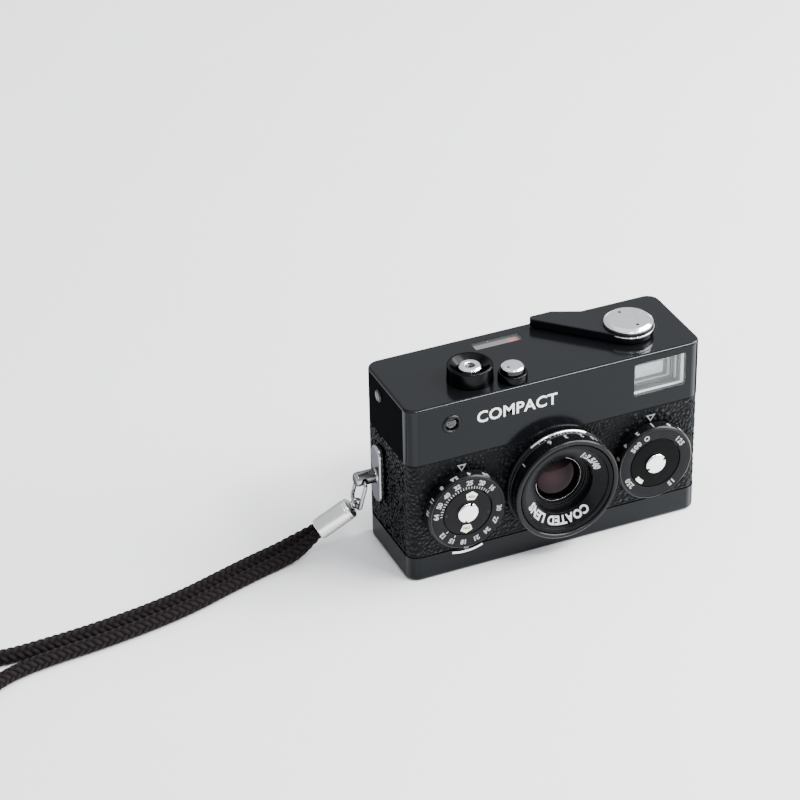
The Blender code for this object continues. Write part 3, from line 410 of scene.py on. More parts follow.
# Each look is the CAD material slot that it stands for, and a material.
LOOKS = {
    "enamel": ("black_enamel", enamel()),
    "tray_enamel": ("black_enamel", enamel(skimming=0.12)),
    "lever_enamel": ("black_enamel", enamel(roughness=0.26, wear=0.6)),
    "cup_enamel": ("black_enamel", enamel((0.0010, 0.0010, 0.0013), 0.22, 0.0, 0.07)),
    "leather": ("leatherette", leather()),
    "anodised": ("black_anodised", anodised()),
    "rim": ("black_anodised", anodised((0.0022, 0.0023, 0.0026), 0.26, turned_marks=False)),
    "dial_ring": ("black_anodised", anodised((0.0034, 0.0036, 0.0044), 0.34, gloss=0.10)),
    "dial_disc": ("black_anodised", anodised((0.0018, 0.0018, 0.0022), 0.36, gloss=0.10)),
    "spun_disc": ("black_anodised", anodised((0.0008, 0.0010, 0.0011), 0.30, gloss=0.05)),
    "name_ring": ("black_anodised", anodised((0.0020, 0.0021, 0.0026), 0.22, gloss=0.075)),
    "matt_black": ("black_anodised", plastic((0.003, 0.003, 0.0033), 0.6)),
    "casting": ("black_anodised", plastic((0.010, 0.010, 0.011), 0.5)),
    "black_plastic": ("black_plastic", plastic((0.008, 0.008, 0.009), 0.40)),
    "chrome": ("chrome", turned_metal((0.90, 0.91, 0.92), 0.27)),
    # Chrome with painted shade on its sides.
    "chrome_with_painted_dark_sides": ("chrome", turned_metal((0.88, 0.89, 0.90), 0.24, painted_wall_shade=0.04)),
    "bright_chrome": ("chrome", plain_metal((0.82, 0.83, 0.84), 0.14, depth=0.001)),
    "dull_chrome": ("chrome", plain_metal((0.40, 0.40, 0.42), 0.20, (0.3, 3.0, 3.0), 0.003, 0.0)),
    "spun_aluminium": ("bare_aluminium", turned_metal((0.93, 0.93, 0.93), 0.38, 0.006)),
    "brushed_aluminium": ("bare_aluminium",
                          plain_metal((0.88, 0.88, 0.87), 0.26, (0.4, 0.4, 3.0), 0.012, 0.0)),
    "steel": ("plain_steel", plain_metal((0.36, 0.36, 0.37), 0.16, (0.4, 2.5, 2.5), 0.003, 0.0)),
    "blades": ("blackened_metal", plain_metal((0.06, 0.06, 0.065), 0.30)),
    "brass": ("brass", plain_metal((0.66, 0.47, 0.20), 0.30)),
    "screw_black": ("blackened_metal", plain_metal((0.05, 0.05, 0.055), 0.34)),
    "white_ink": ("black_enamel", ink((0.80, 0.81, 0.80))),
    "lens_ink": ("black_anodised", ink((0.44, 0.45, 0.44))),
    "figure_ink": ("black_anodised", ink((0.32, 0.33, 0.32))),
    "cream_ink": ("black_anodised", ink((0.82, 0.80, 0.62))),
    "grey_ink": ("black_anodised", ink((0.28, 0.29, 0.29))),
    "faded_ink": ("leatherette", ink((0.20, 0.21, 0.21))),
    "black_ink": ("blackened_metal", ink((0.0008, 0.0008, 0.0008), 0.8)),
    "red_ink": ("red_plastic", ink((0.42, 0.10, 0.10))),
    "meter_card": ("bare_aluminium", ink((0.158, 0.132, 0.132), 0.4)),
    "window_glass": ("clear_glass", glass((0.16, 0.18, 0.18), 0.86)),
    "front_glass": ("coated_glass", dark_glass((0.0058, 0.0034, 0.0038), (0.46, 0.32, 0.35))),
    "rear_glass": ("coated_glass", dark_glass((0.010, 0.006, 0.010), (0.70, 0.45, 0.85))),
    "cell_glass": ("clear_glass", glass((0.01, 0.011, 0.012), 0.45, 0.06)),
    # Painted light: the finder's surfaces glow, though they are no lamps.
    "finder_mirror_glow": ("clear_glass", finder_glow((0.07, 0.08, 0.08), 0.25)),
    "finder_edge_glow": ("clear_glass", finder_glow((0.34, 0.38, 0.38), 0.50)),
    "finder_light": ("clear_glass", finder_glow((0.84, 0.92, 0.91), 0.75)),
    "braid": ("braided_cord", braid()),
}
for look, (_, look_material) in LOOKS.items():
    look_material.name = look


# ---------------------------------------------------------------- making pieces

def finished(obj, body, look, *nodes, slot=None):
    """Give a piece its material and its body, and hide the CAD nodes that it stands for. The slot is not
    used.
    """
    look_slot, material = LOOKS[look]
    obj.data.materials.clear()
    obj.data.materials.append(material)
    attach(obj, body)
    if nodes:
        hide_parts(*nodes)
    return obj


def placed(name, data):
    """Put a new object with this data into the scene."""
    obj = bpy.data.objects.new(name, data)
    bpy.context.scene.collection.objects.link(obj)
    return obj


def final_mesh(obj):
    """The mesh that an object's modifiers or curve settings make."""
    bpy.context.view_layer.update()
    return bpy.data.meshes.new_from_object(obj.evaluated_get(bpy.context.evaluated_depsgraph_get()))


def mesh_object(name, bm, at=(0, 0, 0), facing="up", sharp=35.0):
    """Make an object of a bmesh whose points are in millimetres around the point at."""
    bmesh.ops.recalc_face_normals(bm, faces=bm.faces)
    bmesh.ops.scale(bm, vec=(MM, MM, MM), verts=bm.verts)
    mesh = bpy.data.meshes.new(name)
    bm.to_mesh(mesh)
    bm.free()
    mesh.shade_smooth()
    mesh.set_sharp_from_angle(angle=math.radians(sharp))
    obj = placed(name, mesh)
    obj.matrix_world = Matrix.Translation(Vector(at) * MM) @ FACING[facing]
    return obj


def applied(obj):
    """Keep the mesh that an object's modifiers make, and drop the modifiers."""
    mesh = final_mesh(obj)
    obj.modifiers.clear()
    obj.data = mesh
    return obj


def even_shading(obj):
    """Keep large flat faces flat where they meet small rounded edges."""
    weighted = obj.modifiers.new("weighted", "WEIGHTED_NORMAL")
    weighted.keep_sharp = True
    return applied(obj)


def carved(obj, *tools, sharp=35.0):
    """Cut tools out of a piece and remove them."""
    for tool in tools:
        cut = obj.modifiers.new("cut", "BOOLEAN")
        cut.operation = "DIFFERENCE"
        cut.solver = "EXACT"
        cut.object = tool
    applied(obj)
    for tool in tools:
        bpy.data.objects.remove(tool, do_unlink=True)
    obj.data.shade_smooth()
    obj.data.set_sharp_from_angle(angle=math.radians(sharp))
    return even_shading(obj)


def soft(profile, radius=0.12, ring=False, steps=3):
    """Round the corners of a profile of (radius, height) points."""
    points = [Vector(point) for point in profile]
    rounded = []
    for i, corner in enumerate(points):
        if not ring and i in (0, len(points) - 1):
            rounded.append(corner)
            continue
        before, after = points[i - 1], points[(i + 1) % len(points)]
        to_before, to_after = before - corner, after - corner
        start = corner + to_before.normalized() * min(radius, to_before.length * 0.45)
        end = corner + to_after.normalized() * min(radius, to_after.length * 0.45)
        for k in range(steps + 1):
            t = k / steps
            rounded.append(start * (1 - t) ** 2 + corner * 2 * t * (1 - t) + end * t * t)
    return rounded


def lathe(profile, steps=128, ring=False, ripple=None):
    """Turn a profile around Z. ripple(angle, radius, height) may return another radius."""
    bm = bmesh.new()
    rows = []
    for i in range(steps):
        angle = 2 * math.pi * i / steps
        row = []
        for radius, height in profile:
            reach = ripple(angle, radius, height) if ripple else radius
            row.append(bm.verts.new((reach * math.cos(angle), reach * math.sin(angle), height)))
        rows.append(row)
    count = len(profile)
    for row, following in zip(rows, rows[1:] + rows[:1]):
        for j in range(count if ring else count - 1):
            k = (j + 1) % count
            bm.faces.new((row[j], following[j], following[k], row[k]))
    bmesh.ops.remove_doubles(bm, verts=bm.verts, dist=0.0001)
    return bm


def turned(name, body, look, profile, at, facing, *nodes, ring=False, radius=0.12, steps=128,
           ripple=None, slot=None):
    """A finished piece turned from a profile whose corners are rounded by this radius."""
    bm = lathe(soft(profile, radius, ring), steps, ring, ripple)
    return finished(mesh_object(name, bm, at, facing), body, look, *nodes, slot=slot)


def part_turned(name, body, look, profile, start, end, at, facing, steps=72):
    """Turn a closed profile through part of a circle, in degrees, and close its ends."""
    bm = bmesh.new()
    rows = []
    for i in range(steps + 1):
        angle = math.radians(start + (end - start) * i / steps)
        rows.append([bm.verts.new((r * math.cos(angle), r * math.sin(angle), h)) for r, h in profile])
    for row, following in zip(rows, rows[1:]):
        for j in range(len(profile)):
            bm.faces.new((row[j - 1], following[j - 1], following[j], row[j]))
    bm.faces.new(rows[0])
    bm.faces.new(rows[-1])
    return finished(mesh_object(name, bm, at, facing), body, look)


def knurl(count, depth, low, high):
    """Grooves along a rim between two heights, for a lathe with six steps to a groove."""
    def ripple(angle, radius, height):
        if low <= height <= high:
            return radius - depth * (0.5 - 0.5 * math.cos(angle * count)) ** 0.7
        return radius
    return ripple


def box_mesh(low, high, corner=0.0, steps=8, axis=2, rim=0.0, rim_sides=(1,), front_only=False):
    """A box whose edges along one axis are rounded, and then the rims at its ends on that axis."""
    low, high = Vector(low), Vector(high)
    bm = bmesh.new()
    bmesh.ops.create_cube(bm, size=1.0)
    bmesh.ops.scale(bm, vec=high - low, verts=bm.verts)
    centre = (low + high) / 2
    bmesh.ops.translate(bm, vec=centre, verts=bm.verts)
    if corner:
        edges = [edge for edge in bm.edges
                 if abs((edge.verts[0].co - edge.verts[1].co).normalized()[axis]) > 0.99
                 and not (front_only and edge.verts[0].co.y > centre.y)]
        bmesh.ops.bevel(bm, geom=edges, offset=corner, segments=steps, profile=0.5, affect="EDGES")
    if rim:
        levels = [high[axis] if side > 0 else low[axis] for side in rim_sides]
        edges = [edge for edge in bm.edges
                 if any(all(abs(v.co[axis] - level) < 1e-4 for v in edge.verts) for level in levels)]
        bmesh.ops.bevel(bm, geom=edges, offset=rim, segments=5, profile=0.5, affect="EDGES")
    return bm


def box(name, low, high, **shape):
    return mesh_object(name, box_mesh(low, high, **shape))


def rod(name, radius, low, high, at, facing, steps=96):
    return mesh_object(name, lathe([(0, high), (radius, high), (radius, low), (0, low)], steps), at, facing)


def arc(centre, radius, start, end, steps):
    angles = [math.radians(start + (end - start) * i / steps) for i in range(steps + 1)]
    return [(centre[0] + radius * math.cos(a), centre[1] + radius * math.sin(a)) for a in angles]


def prism(outline, low, high):
    """A solid with this outline between two heights."""
    bm = bmesh.new()
    face = bm.faces.new([bm.verts.new((x, y, low)) for x, y in outline])
    raised = bmesh.ops.extrude_face_region(bm, geom=[face])
    top = [item for item in raised["geom"] if isinstance(item, bmesh.types.BMVert)]
    bmesh.ops.translate(bm, vec=(0, 0, high - low), verts=top)
    return bm


def circle(radius):
    """Corners of a circle, for a bead or a hole."""
    return arc((0.0, 0.0), radius, 0, 345, 23)


def plate(name, outline, low, high, at, facing, edge=0.15):
    """A flat plate of this outline with softened edges, between two heights on its own axis."""
    bm = prism(outline, low, high)
    if edge:
        rims = [e for e in bm.edges if abs(e.verts[0].co.z - e.verts[1].co.z) < 1e-6]
        bmesh.ops.bevel(bm, geom=rims, offset=edge, segments=3, profile=0.5, affect="EDGES")
    return even_shading(mesh_object(name, bm, at, facing))


def wire(name, points, radius, closed=False, sides=24, at=(0, 0, 0)):
    """A round wire along these points."""
    curve = bpy.data.curves.new(name, "CURVE")
    curve.dimensions = "3D"
    curve.bevel_depth = radius * MM
    curve.bevel_resolution = sides // 4
    curve.use_fill_caps = not closed
    spline = curve.splines.new("POLY")
    spline.points.add(len(points) - 1)
    for point, position in zip(spline.points, points):
        point.co = (*(Vector(position) - Vector(at)) * MM, 1.0)
    spline.use_cyclic_u = closed
    drawn = placed(name + "_curve", curve)
    mesh = final_mesh(drawn)
    bpy.data.objects.remove(drawn, do_unlink=True)
    mesh.shade_smooth()
    obj = placed(name, mesh)
    obj.location = Vector(at) * MM
    return obj


def boxed(name, body, look, low, high, *nodes, **shape):
    """A finished box."""
    return finished(box(name, low, high, **shape), body, look, *nodes)


def plated(name, body, look, outline, low, high, at, facing, *nodes, edge=0.15):
    """A finished flat plate."""
    return finished(plate(name, outline, low, high, at, facing, edge), body, look, *nodes)


def dress(look, *nodes):
    """Give CAD nodes that stay a better material."""
    for node in nodes:
        mesh = frame["nodes"][node].data
        mesh.materials.clear()
        mesh.materials.append(LOOKS[look][1])


# ---------------------------------------------------------------- lettering

PRINT_LIFT = 0.015                           # the middle of the paint above its surface
BAR_STEP = 0.4


class Print:
    """Figures and marks of one colour on one body, gathered into one thin piece."""

    def __init__(self, name, body, look, slot=None):
        self.name, self.body, self.look, self.slot = name, body, look, slot
        self.bm = bmesh.new()

    def add(self, mesh, bend):
        """Add a flat mesh, in millimetres, with each point moved by bend(x, y, z)."""
        points = [self.bm.verts.new(bend(*vert.co)) for vert in mesh.vertices]
        for polygon in mesh.polygons:
            self.bm.faces.new([points[i] for i in polygon.vertices])
        bpy.data.meshes.remove(mesh)

    def text(self, words, height, bend, weight=0.0, spacing=1.0, raise_by=0.03):
        """Plain capitals and figures this high, centred on the origin of bend."""
        curve = bpy.data.curves.new(self.name, "FONT")
        curve.body = words
        curve.size = height / 0.73
        curve.align_x = "CENTER"
        curve.space_character = spacing
        curve.offset = weight
        curve.extrude = raise_by / 2
        curve.resolution_u = 3
        drawn = placed(self.name, curve)
        mesh = final_mesh(drawn)
        bpy.data.objects.remove(drawn, do_unlink=True)
        mesh.transform(Matrix.Translation((0, -height / 2, 0)))
        self.add(mesh, bend)

    def shape(self, outline, bend, raise_by=0.03):
        """A filled outline."""
        bm = prism(outline, -raise_by / 2, raise_by / 2)
        mesh = bpy.data.meshes.new(self.name)
        bm.to_mesh(mesh)
        bm.free()
        self.add(mesh, bend)

    def texts(self, items, height, place, **style):
        """Several words, each with its angle, and place(angle) bends them."""
        for words, angle in items:
            self.text(words, height, place(angle), **style)

    def bar(self, width, height, bend):
        """A straight mark, with enough points along it to bend."""
        steps = max(1, round(width / BAR_STEP))
        lower = [(-width / 2 + width * i / steps, -height / 2) for i in range(steps + 1)]
        self.shape(lower + [(x, -y) for x, y in reversed(lower)], bend)

    def done(self, at=(0, 0, 0), facing="up"):
        bmesh.ops.remove_doubles(self.bm, verts=self.bm.verts, dist=0.0005)
        piece = mesh_object(self.name, self.bm, at, facing)
        return finished(piece, self.body, self.look, slot=self.slot)


def flat(at, turn=0.0):
    """Lay lettering flat at a point of the piece's own XY plane."""
    cos, sin = math.cos(math.radians(turn)), math.sin(math.radians(turn))
    return lambda x, y, z: (at[0] + x * cos - y * sin, at[1] + x * sin + y * cos, at[2] + z + PRINT_LIFT)


def around(radius, angle, height, slope=0.0):
    """Bend lettering around the axis, tops outward and reading clockwise, on a face or a cone."""
    def bend(x, y, z):
        turn = math.radians(angle) - x / radius
        reach = radius + y
        return (reach * math.cos(turn), reach * math.sin(turn), height + slope * y + z + PRINT_LIFT)
    return bend


def on_side(radius, angle, height):
    """Bend lettering round a cylinder's side, tops towards +Z."""
    def bend(x, y, z):
        turn = math.radians(angle) + x / radius
        reach = radius + z + PRINT_LIFT
        return (reach * math.cos(turn), reach * math.sin(turn), height + y)
    return bend


# ---------------------------------------------------------------- body

def pebbles(point):
    """Height of the leatherette at a point on its surface, from 0 in the creases to 1."""
    near, next_near = noise.voronoi(point * 0.74)[0][:2]
    edge = min((next_near - near) * 1.5, 1.0)
    wide = noise.noise(point * 0.45)
    return 0.85 * edge * (2 - edge) + 0.15 * (0.5 + 0.5 * wide)


def skin_sheet(name, path, low, high, step, relief, holes=(), closed_edge=0.5):
    """A leatherette sheet along a path of (x, y, normal) points, from a low to a high level, with its
    edges turned in. Holes are (centre, radius) pairs."""
    rows = round((high - low) / step)
    bm = bmesh.new()
    grid = []
    for x, y, normal in path:
        column = []
        for j in range(rows + 1):
            z = low + (high - low) * j / rows
            point = Vector((x, y, z))
            margin = min(z - low, high - z, 0.8) / 0.8
            lift = -relief * (1 - pebbles(point)) * margin - 0.22 * (1 - margin) ** 2
            column.append(bm.verts.new(point + normal * lift))
        grid.append(column)
    for left, right in zip(grid, grid[1:]):
        for j in range(rows):
            bm.faces.new((left[j], right[j], right[j + 1], left[j + 1]))
    for centre, radius in holes:
        inside = [face for face in bm.faces if (face.calc_center_median() - centre).length < radius]
        bmesh.ops.delete(bm, geom=inside, context="FACES")
        for vert in bm.verts:
            away = vert.co - centre
            if vert.is_boundary and away.length < radius + step * 1.6:
                vert.co = centre + away * (radius / math.hypot(away.x, away.z))
                vert.co.y = centre.y
    crown = bm.verts.layers.float.new("crown")
    for vert in bm.verts:
        vert[crown] = pebbles(vert.co)
    rims = [edge for edge in bm.edges if edge.is_boundary]
    turned_in = bmesh.ops.extrude_edge_only(bm, edges=rims)
    for item in turned_in["geom"]:
        if isinstance(item, bmesh.types.BMVert):
            here = item.co
            nearest = min(path[::12], key=lambda place: (here.x - place[0]) ** 2 + (here.y - place[1]) ** 2)
            here -= nearest[2] * closed_edge
    return mesh_object(name, bm, sharp=50)


def make_front_skin():
    step = 0.22
    path = []
    straight = SKIN_HIGH.y - (FRONT + CORNER)
    count = round(straight / step)
    for i in range(count):
        path.append((-HALF, SKIN_HIGH.y - straight * i / count, Vector((-1, 0, 0))))
    bend = round(CORNER * math.pi / 2 / step)
    for i in range(bend):
        angle = math.pi + math.pi / 2 * i / bend
        normal = Vector((math.cos(angle), math.sin(angle), 0))
        path.append((-HALF + CORNER + CORNER * normal.x, FRONT + CORNER + CORNER * normal.y, normal))
    width = 2 * (HALF - CORNER)
    count = round(width / step)
    for i in range(count):
        path.append((-HALF + CORNER + width * i / count, FRONT, Vector((0, -1, 0))))
    mirrored = [(-x, y, Vector((-n.x, n.y, 0))) for x, y, n in path if x < -HALF + CORNER]
    path += mirrored[::-1]
    skin = skin_sheet("pebbled_front", path, SKIN_LOW.z, SKIN_HIGH.z, step, SKIN_RELIEF,
                      holes=((Vector((LENS.x, FRONT, LENS.z)), 14.6),))
    finished(skin, "camera", "leather", "front_leatherette")


def make_back_skin():
    step = 0.24
    low, high = BACK_SKIN_LOW, BACK_SKIN_HIGH
    count = round((high.x - low.x) / step)
    path = [(high.x - (high.x - low.x) * i / count, high.y, Vector((0, 1, 0))) for i in range(count + 1)]
    skin = skin_sheet("pebbled_back", path, low.z, high.z, step, SKIN_RELIEF)
    finished(skin, "back", "leather", "back_leatherette")


def make_top_cover():
    cover = box("cover_shell", (-HALF, FRONT, COVER_SEAM), (HALF, BACK, HEIGHT), corner=CORNER, steps=12,
                rim=RIM)
    inside = box("cover_inside", (-HALF + WALL, FRONT + WALL, COVER_SEAM - 2),
                 (HALF - WALL, BACK - WALL, HEIGHT - WALL), corner=CORNER - WALL)
    window_low, window_high = corners("finder_window")
    eye_low, eye_high = corners("finder_eyepiece")
    meter_low, meter_high = corners("meter_window")
    tools = [
        inside,
        box("cut_finder", (window_low.x, FRONT - 2, window_low.z), (window_high.x, FRONT + 3, window_high.z),
            corner=0.7, axis=1),
        box("cut_eyepiece", (eye_low.x, BACK - 3, eye_low.z), (eye_high.x, BACK + 2, eye_high.z),
            corner=0.8, axis=1),
        box("cut_meter", (meter_low.x, meter_low.y, HEIGHT - 3), (meter_high.x, meter_high.y, HEIGHT + 2),
            corner=0.5),
        rod("cut_release", 4.2, HEIGHT - 3, HEIGHT + 1, RELEASE, "up"),
        rod("cut_button", 3.7, HEIGHT - 3, HEIGHT + 1, LENS_BUTTON, "up"),
        rod("cut_lever", 2.4, HEIGHT - 3, HEIGHT + 1, HUB, "up", 48),
        rod("cut_cell", 3.1, -2.0, 1.0, CELL, "front"),
    ]
    carved(cover, *tools)
    finished(cover, "camera", "enamel", "top_cover")


def make_cover_screws():
    profile = soft([(0, 0.62), (1.45, 0.62), (1.9, 0.3), (1.9, 0.02), (0, 0.02)], 0.1)
    for side, x in (("left", -HALF), ("right", HALF)):
        node = "cover_screw_" + side
        at = middle(node)
        at.x = x
        screw = mesh_object("slotted_" + node, lathe(profile), at, side)
        slot_tool = box("slot_tool", (-5, -0.22, 0.3), (5, 0.22, 2))
        slot_tool.matrix_world = screw.matrix_world @ Matrix.Rotation(0.5, 4, "Z")
        finished(carved(screw, slot_tool), "camera", "screw_black", node)


def make_name():
    name = Print("front_lettering", "camera", "white_ink")
    name.text("COMPACT", 3.9, flat((-13.2, 52.9, 0.0)), weight=0.10, spacing=1.04, raise_by=0.06)
    name.done((0, FRONT, 0), "front")


def make_index_marks():
    marks = Print("index_triangles", "camera", "faded_ink")
    for x, z, width, height in ((-31.3, 36.7, 3.0, 2.5), (31.4, 37.2, 3.2, 2.4)):
        outer = [(-width / 2, height / 2), (width / 2, height / 2), (0, -height / 2)]
        inner = [(px * 0.52, (py - 0.25) * 0.52 + 0.25) for px, py in outer]
        for i in range(3):
            k = (i + 1) % 3
            marks.shape([outer[i], outer[k], inner[k], inner[i]], flat((x, z, 0.05)))
    marks.done((0, FRONT, 0), "front")


def make_back_cover():
    shell = box("back_shell", (-HALF, FRONT, 0), (HALF, BACK, COVER_SEAM - 0.3), corner=CORNER, steps=12,
                rim=RIM, rim_sides=(-1,))
    shoe_low, shoe_high = corners("hot_shoe")
    tools = [
        box("above_tray", (-60, FRONT - 5, BASE_SEAM), (60, BACK_INNER, 50)),
        box("tray_room", (-HALF + WALL, FRONT + WALL, 4.4), (HALF - WALL, BACK_INNER, BASE_SEAM + 1),
            corner=3.0, front_only=True),
        box("shoe_pocket", (shoe_low.x - 0.4, shoe_low.y - 0.5, -1), (shoe_high.x + 0.4, BACK + 1, 3.2)),
        rod("crank_pocket", 8.6, -1, 2.7, CRANK, "up"),
        rod("crank_bore", 2.3, 2, 6, CRANK, "up", 48),
        rod("latch_pocket", 6.0, -1, 2.7, LATCH, "up"),
        rod("latch_bore", 1.9, 2, 6, LATCH, "up", 48),
        rod("bush_hole", 4.75, -1, 6, BUSH, "up"),
        rod("window_hole", 2.4, -1, 6, COUNTER_WINDOW, "up"),
        box("skin_recess", (BACK_SKIN_LOW.x - 0.25, BACK - 0.7, BACK_SKIN_LOW.z - 0.25),
            (BACK_SKIN_HIGH.x + 0.25, BACK + 1, BACK_SKIN_HIGH.z + 0.25)),
    ]
    carved(shell, *tools)
    finished(shell, "back", "tray_enamel", "back_cover")


# ---------------------------------------------------------------- finder, cell and meter

def make_finder():
    low, high = corners("finder_window")
    boxed("finder_pane", "camera", "window_glass", (low.x + 0.05, low.y, low.z + 0.05),
          (high.x - 0.05, low.y + 1.2, high.z - 0.05), "finder_window", corner=0.6, axis=1, rim=0.12,
          rim_sides=(-1, 1))
    bright_low, bright_high = Vector((28.8, 0, 48.1)), Vector((38.7, 0, 52.9))
    first = low.y + 1.3
    reach = 5.0
    # The steps glow with painted light, lighter and darker in turn.
    looks = ("finder_light",) + ("finder_mirror_glow", "finder_edge_glow") * 2 + ("finder_mirror_glow",)
    for i, look in enumerate(looks):
        edges = []
        for t in (i / len(looks), (i + 1) / len(looks)):
            edges.append((low.x + (bright_low.x - low.x) * t, low.z + (bright_low.z - low.z) * t,
                          high.x + (bright_high.x - high.x) * t, high.z + (bright_high.z - high.z) * t))
        outer, inner = edges
        y = first + reach * i / len(looks)
        rim = box(f"finder_step_{i}", (outer[0] + 0.06, y, outer[1] + 0.06),
                  (outer[2] - 0.06, y + 0.8, outer[3] - 0.06), corner=0.4, axis=1, rim=0.12, rim_sides=(-1,))
        hole = box("hole", (inner[0], y - 1, inner[1]), (inner[2], y + 3, inner[3]), corner=0.4, axis=1)
        finished(carved(rim, hole), "camera", look)
    boxed("finder_screen", "camera", "finder_light", (bright_low.x, first + reach + 0.1, bright_low.z),
          (bright_high.x, first + reach + 0.5, bright_high.z), corner=0.4, axis=1, rim=0.1)
    low, high = corners("finder_eyepiece")
    boxed("eyepiece_pane", "camera", "window_glass", (low.x, high.y - 1.4, low.z), high, "finder_eyepiece",
          corner=0.8, axis=1, rim=0.25, rim_sides=(-1, 1))
    # Painted light: a glowing field behind the eyepiece.
    boxed("eyepiece_field", "camera", "finder_mirror_glow", (low.x + 0.7, high.y - 3.0, low.z + 0.7),
          (high.x - 0.7, high.y - 2.4, high.z - 0.7), corner=0.4, axis=1, rim=0.1)


def make_cell():
    turned("cell_ring", "camera", "rim",
           [(2.05, 0.1), (2.35, 0.45), (2.75, 0.45), (3.05, 0.1), (3.05, -0.8), (2.05, -0.8)],
           CELL, "front", "cell_bezel", ring=True)
    turned("cell_lens", "camera", "cell_glass",
           [(0, 0.25), (0.8, 0.18), (1.5, -0.05), (2.0, -0.4), (2.0, -1.6), (0, -1.6)],
           CELL, "front", "light_cell", radius=0.3)
    grid = Print("cell_grid", "camera", "grey_ink")
    for i in (-1, 0, 1):
        grid.bar(2.6, 0.12, flat((0, i * 0.8, -1.5)))
        grid.bar(0.12, 2.6, flat((i * 0.8, 0, -1.5)))
    grid.done(CELL, "front")


def make_meter():
    low, high = corners("meter_window")
    boxed("meter_pane", "camera", "window_glass", (low.x, low.y, HEIGHT - 0.75),
          (high.x, high.y, HEIGHT - 0.08), "meter_window", corner=0.5, rim=0.12, rim_sides=(-1, 1))
    level = HEIGHT - 1.15
    boxed("meter_card", "camera", "meter_card", (low.x + 0.1, low.y + 0.1, level - 0.3),
          (high.x - 0.1, high.y - 0.1, level), corner=0.4, rim=0.05)
    patch = Print("meter_red_field", "camera", "red_ink")
    patch.bar(3.4, high.y - low.y - 0.9, flat((high.x - 2.0, (low.y + high.y) / 2, level)))
    patch.done()


# ---------------------------------------------------------------- top controls

def make_release():
    top = corners("release_collar")[1].z
    turned("release_ring", "camera", "cup_enamel",
           [(3.85, top - 1.5), (6.1, top + 0.2), (6.55, top + 0.2), (6.85, top - 0.2), (6.95, 61.0),
            (7.05, HEIGHT + 0.02), (3.85, HEIGHT + 0.02)], RELEASE, "up", "release_collar", ring=True,
           radius=0.25)
    turned("cable_release_button", "release_button", "chrome",
           [(1.45, 61.0), (1.45, top - 0.55), (1.75, top - 0.25), (2.9, top - 0.25), (3.5, top - 0.75),
            (3.5, 58.0), (2.0, 57.4), (1.45, 57.4)], RELEASE, "up", "release_button", ring=True, radius=0.15)
    # Painted shade: a matt black liner darkens the inside of the cable release socket.
    turned("cable_socket", "release_button", "matt_black",
           [(0, top - 2.7), (0.6, top - 2.6), (1.35, top - 2.0), (1.35, top - 0.5), (1.5, top - 0.5),
            (1.5, top - 3.2), (0, top - 3.2)], RELEASE, "up", radius=0.05, slot="blackened_metal")
    thread = [RELEASE + Vector((1.3 * math.cos(a), 1.3 * math.sin(a), top - 1.7 + 0.2 * a / math.pi))
              for a in (math.pi * i / 12 for i in range(60))]
    finished(wire("cable_socket_thread", thread, 0.1, sides=8), "release_button", "steel", slot="chrome")


def make_lens_button():
    top = corners("lens_button")[1].z
    turned("lens_button_sleeve", "camera", "cup_enamel",
           [(3.62, 62.5), (4.1, 62.5), (4.4, 62.1), (4.45, HEIGHT + 0.02), (3.62, HEIGHT + 0.02)],
           LENS_BUTTON, "up", "lens_button_collar", ring=True, radius=0.2)
    button = mesh_object("lens_lock_button", lathe(soft([
        (0, top), (2.9, top), (3.5, top - 0.5), (3.5, 58.6), (0, 58.6)], 0.2), 144), LENS_BUTTON)
    hole = rod("pin_hole", 0.45, top - 0.5, top + 1, LENS_BUTTON + Vector((-1.7, -0.7, 0)), "up", 32)
    finished(carved(button, hole), "lens_button", "chrome_with_painted_dark_sides", "lens_button")
    # Painted shade: a black disc at the bottom of the pin hole darkens it.
    painted_hole_shade = Print("button_pin_hole_painted_shade", "lens_button", "black_ink")
    painted_hole_shade.shape(circle(0.44), flat((-1.7, -0.7, top - 0.2)))
    painted_hole_shade.done(LENS_BUTTON)


def make_lever():
    low, high = corners("advance_lever")
    cap_low, cap_high = corners("lever_cap")
    reach = (cap_high.x - cap_low.x) / 2
    tip_x, tip_y = low.x - HUB.x, high.y - HUB.y
    outline = (arc((0, 0), reach + 0.15, -135, 66, 60) + [(tip_x + 7.6, tip_y), (tip_x + 2.0, tip_y)]
               + arc((tip_x + 1.3, tip_y - 1.25), 1.3, 100, 215, 8))
    plated("lever_arm", "advance_lever", "lever_enamel", outline, low.z, 63.2, HUB, "up", "advance_lever",
           edge=0.28)
    turned("lever_hub", "advance_lever", "lever_enamel",
           [(0, 63.9), (reach - 0.2, 63.9), (reach + 0.1, 63.6), (reach + 0.1, 62.9), (0, 62.9)], HUB, "up")
    top = cap_high.z
    cap = mesh_object("lever_disc", lathe(soft([
        (0, top), (reach - 1.0, top), (reach, top - 0.75), (reach, top - 1.35), (reach - 0.5, top - 1.5),
        (0, top - 1.5)], 0.15), 192), HUB)
    places = ((-0.8, 4.4), (0.8, -4.4))
    holes = [rod("pin_hole", 0.55, top - 0.8, top + 1, HUB + Vector((x, y, 0)), "up", 32)
             for x, y in places]
    finished(carved(cap, *holes), "advance_lever", "chrome", "lever_cap")
    # Painted shade: black discs at the bottoms of the pin holes darken them.
    painted_hole_shade = Print("cap_pin_holes_painted_shade", "advance_lever", "black_ink")
    for x, y in places:
        painted_hole_shade.shape(circle(0.54), flat((x, y, top - 0.25)))
    painted_hole_shade.done(HUB)
    turned("hub_ring", "advance_lever", "chrome",
           [(reach - 0.4, 62.7), (reach + 0.35, 62.7), (reach + 0.4, 62.5), (reach + 0.35, 62.1),
            (reach - 0.4, 62.1)], HUB, "up", ring=True, radius=0.08)


# ---------------------------------------------------------------- lens

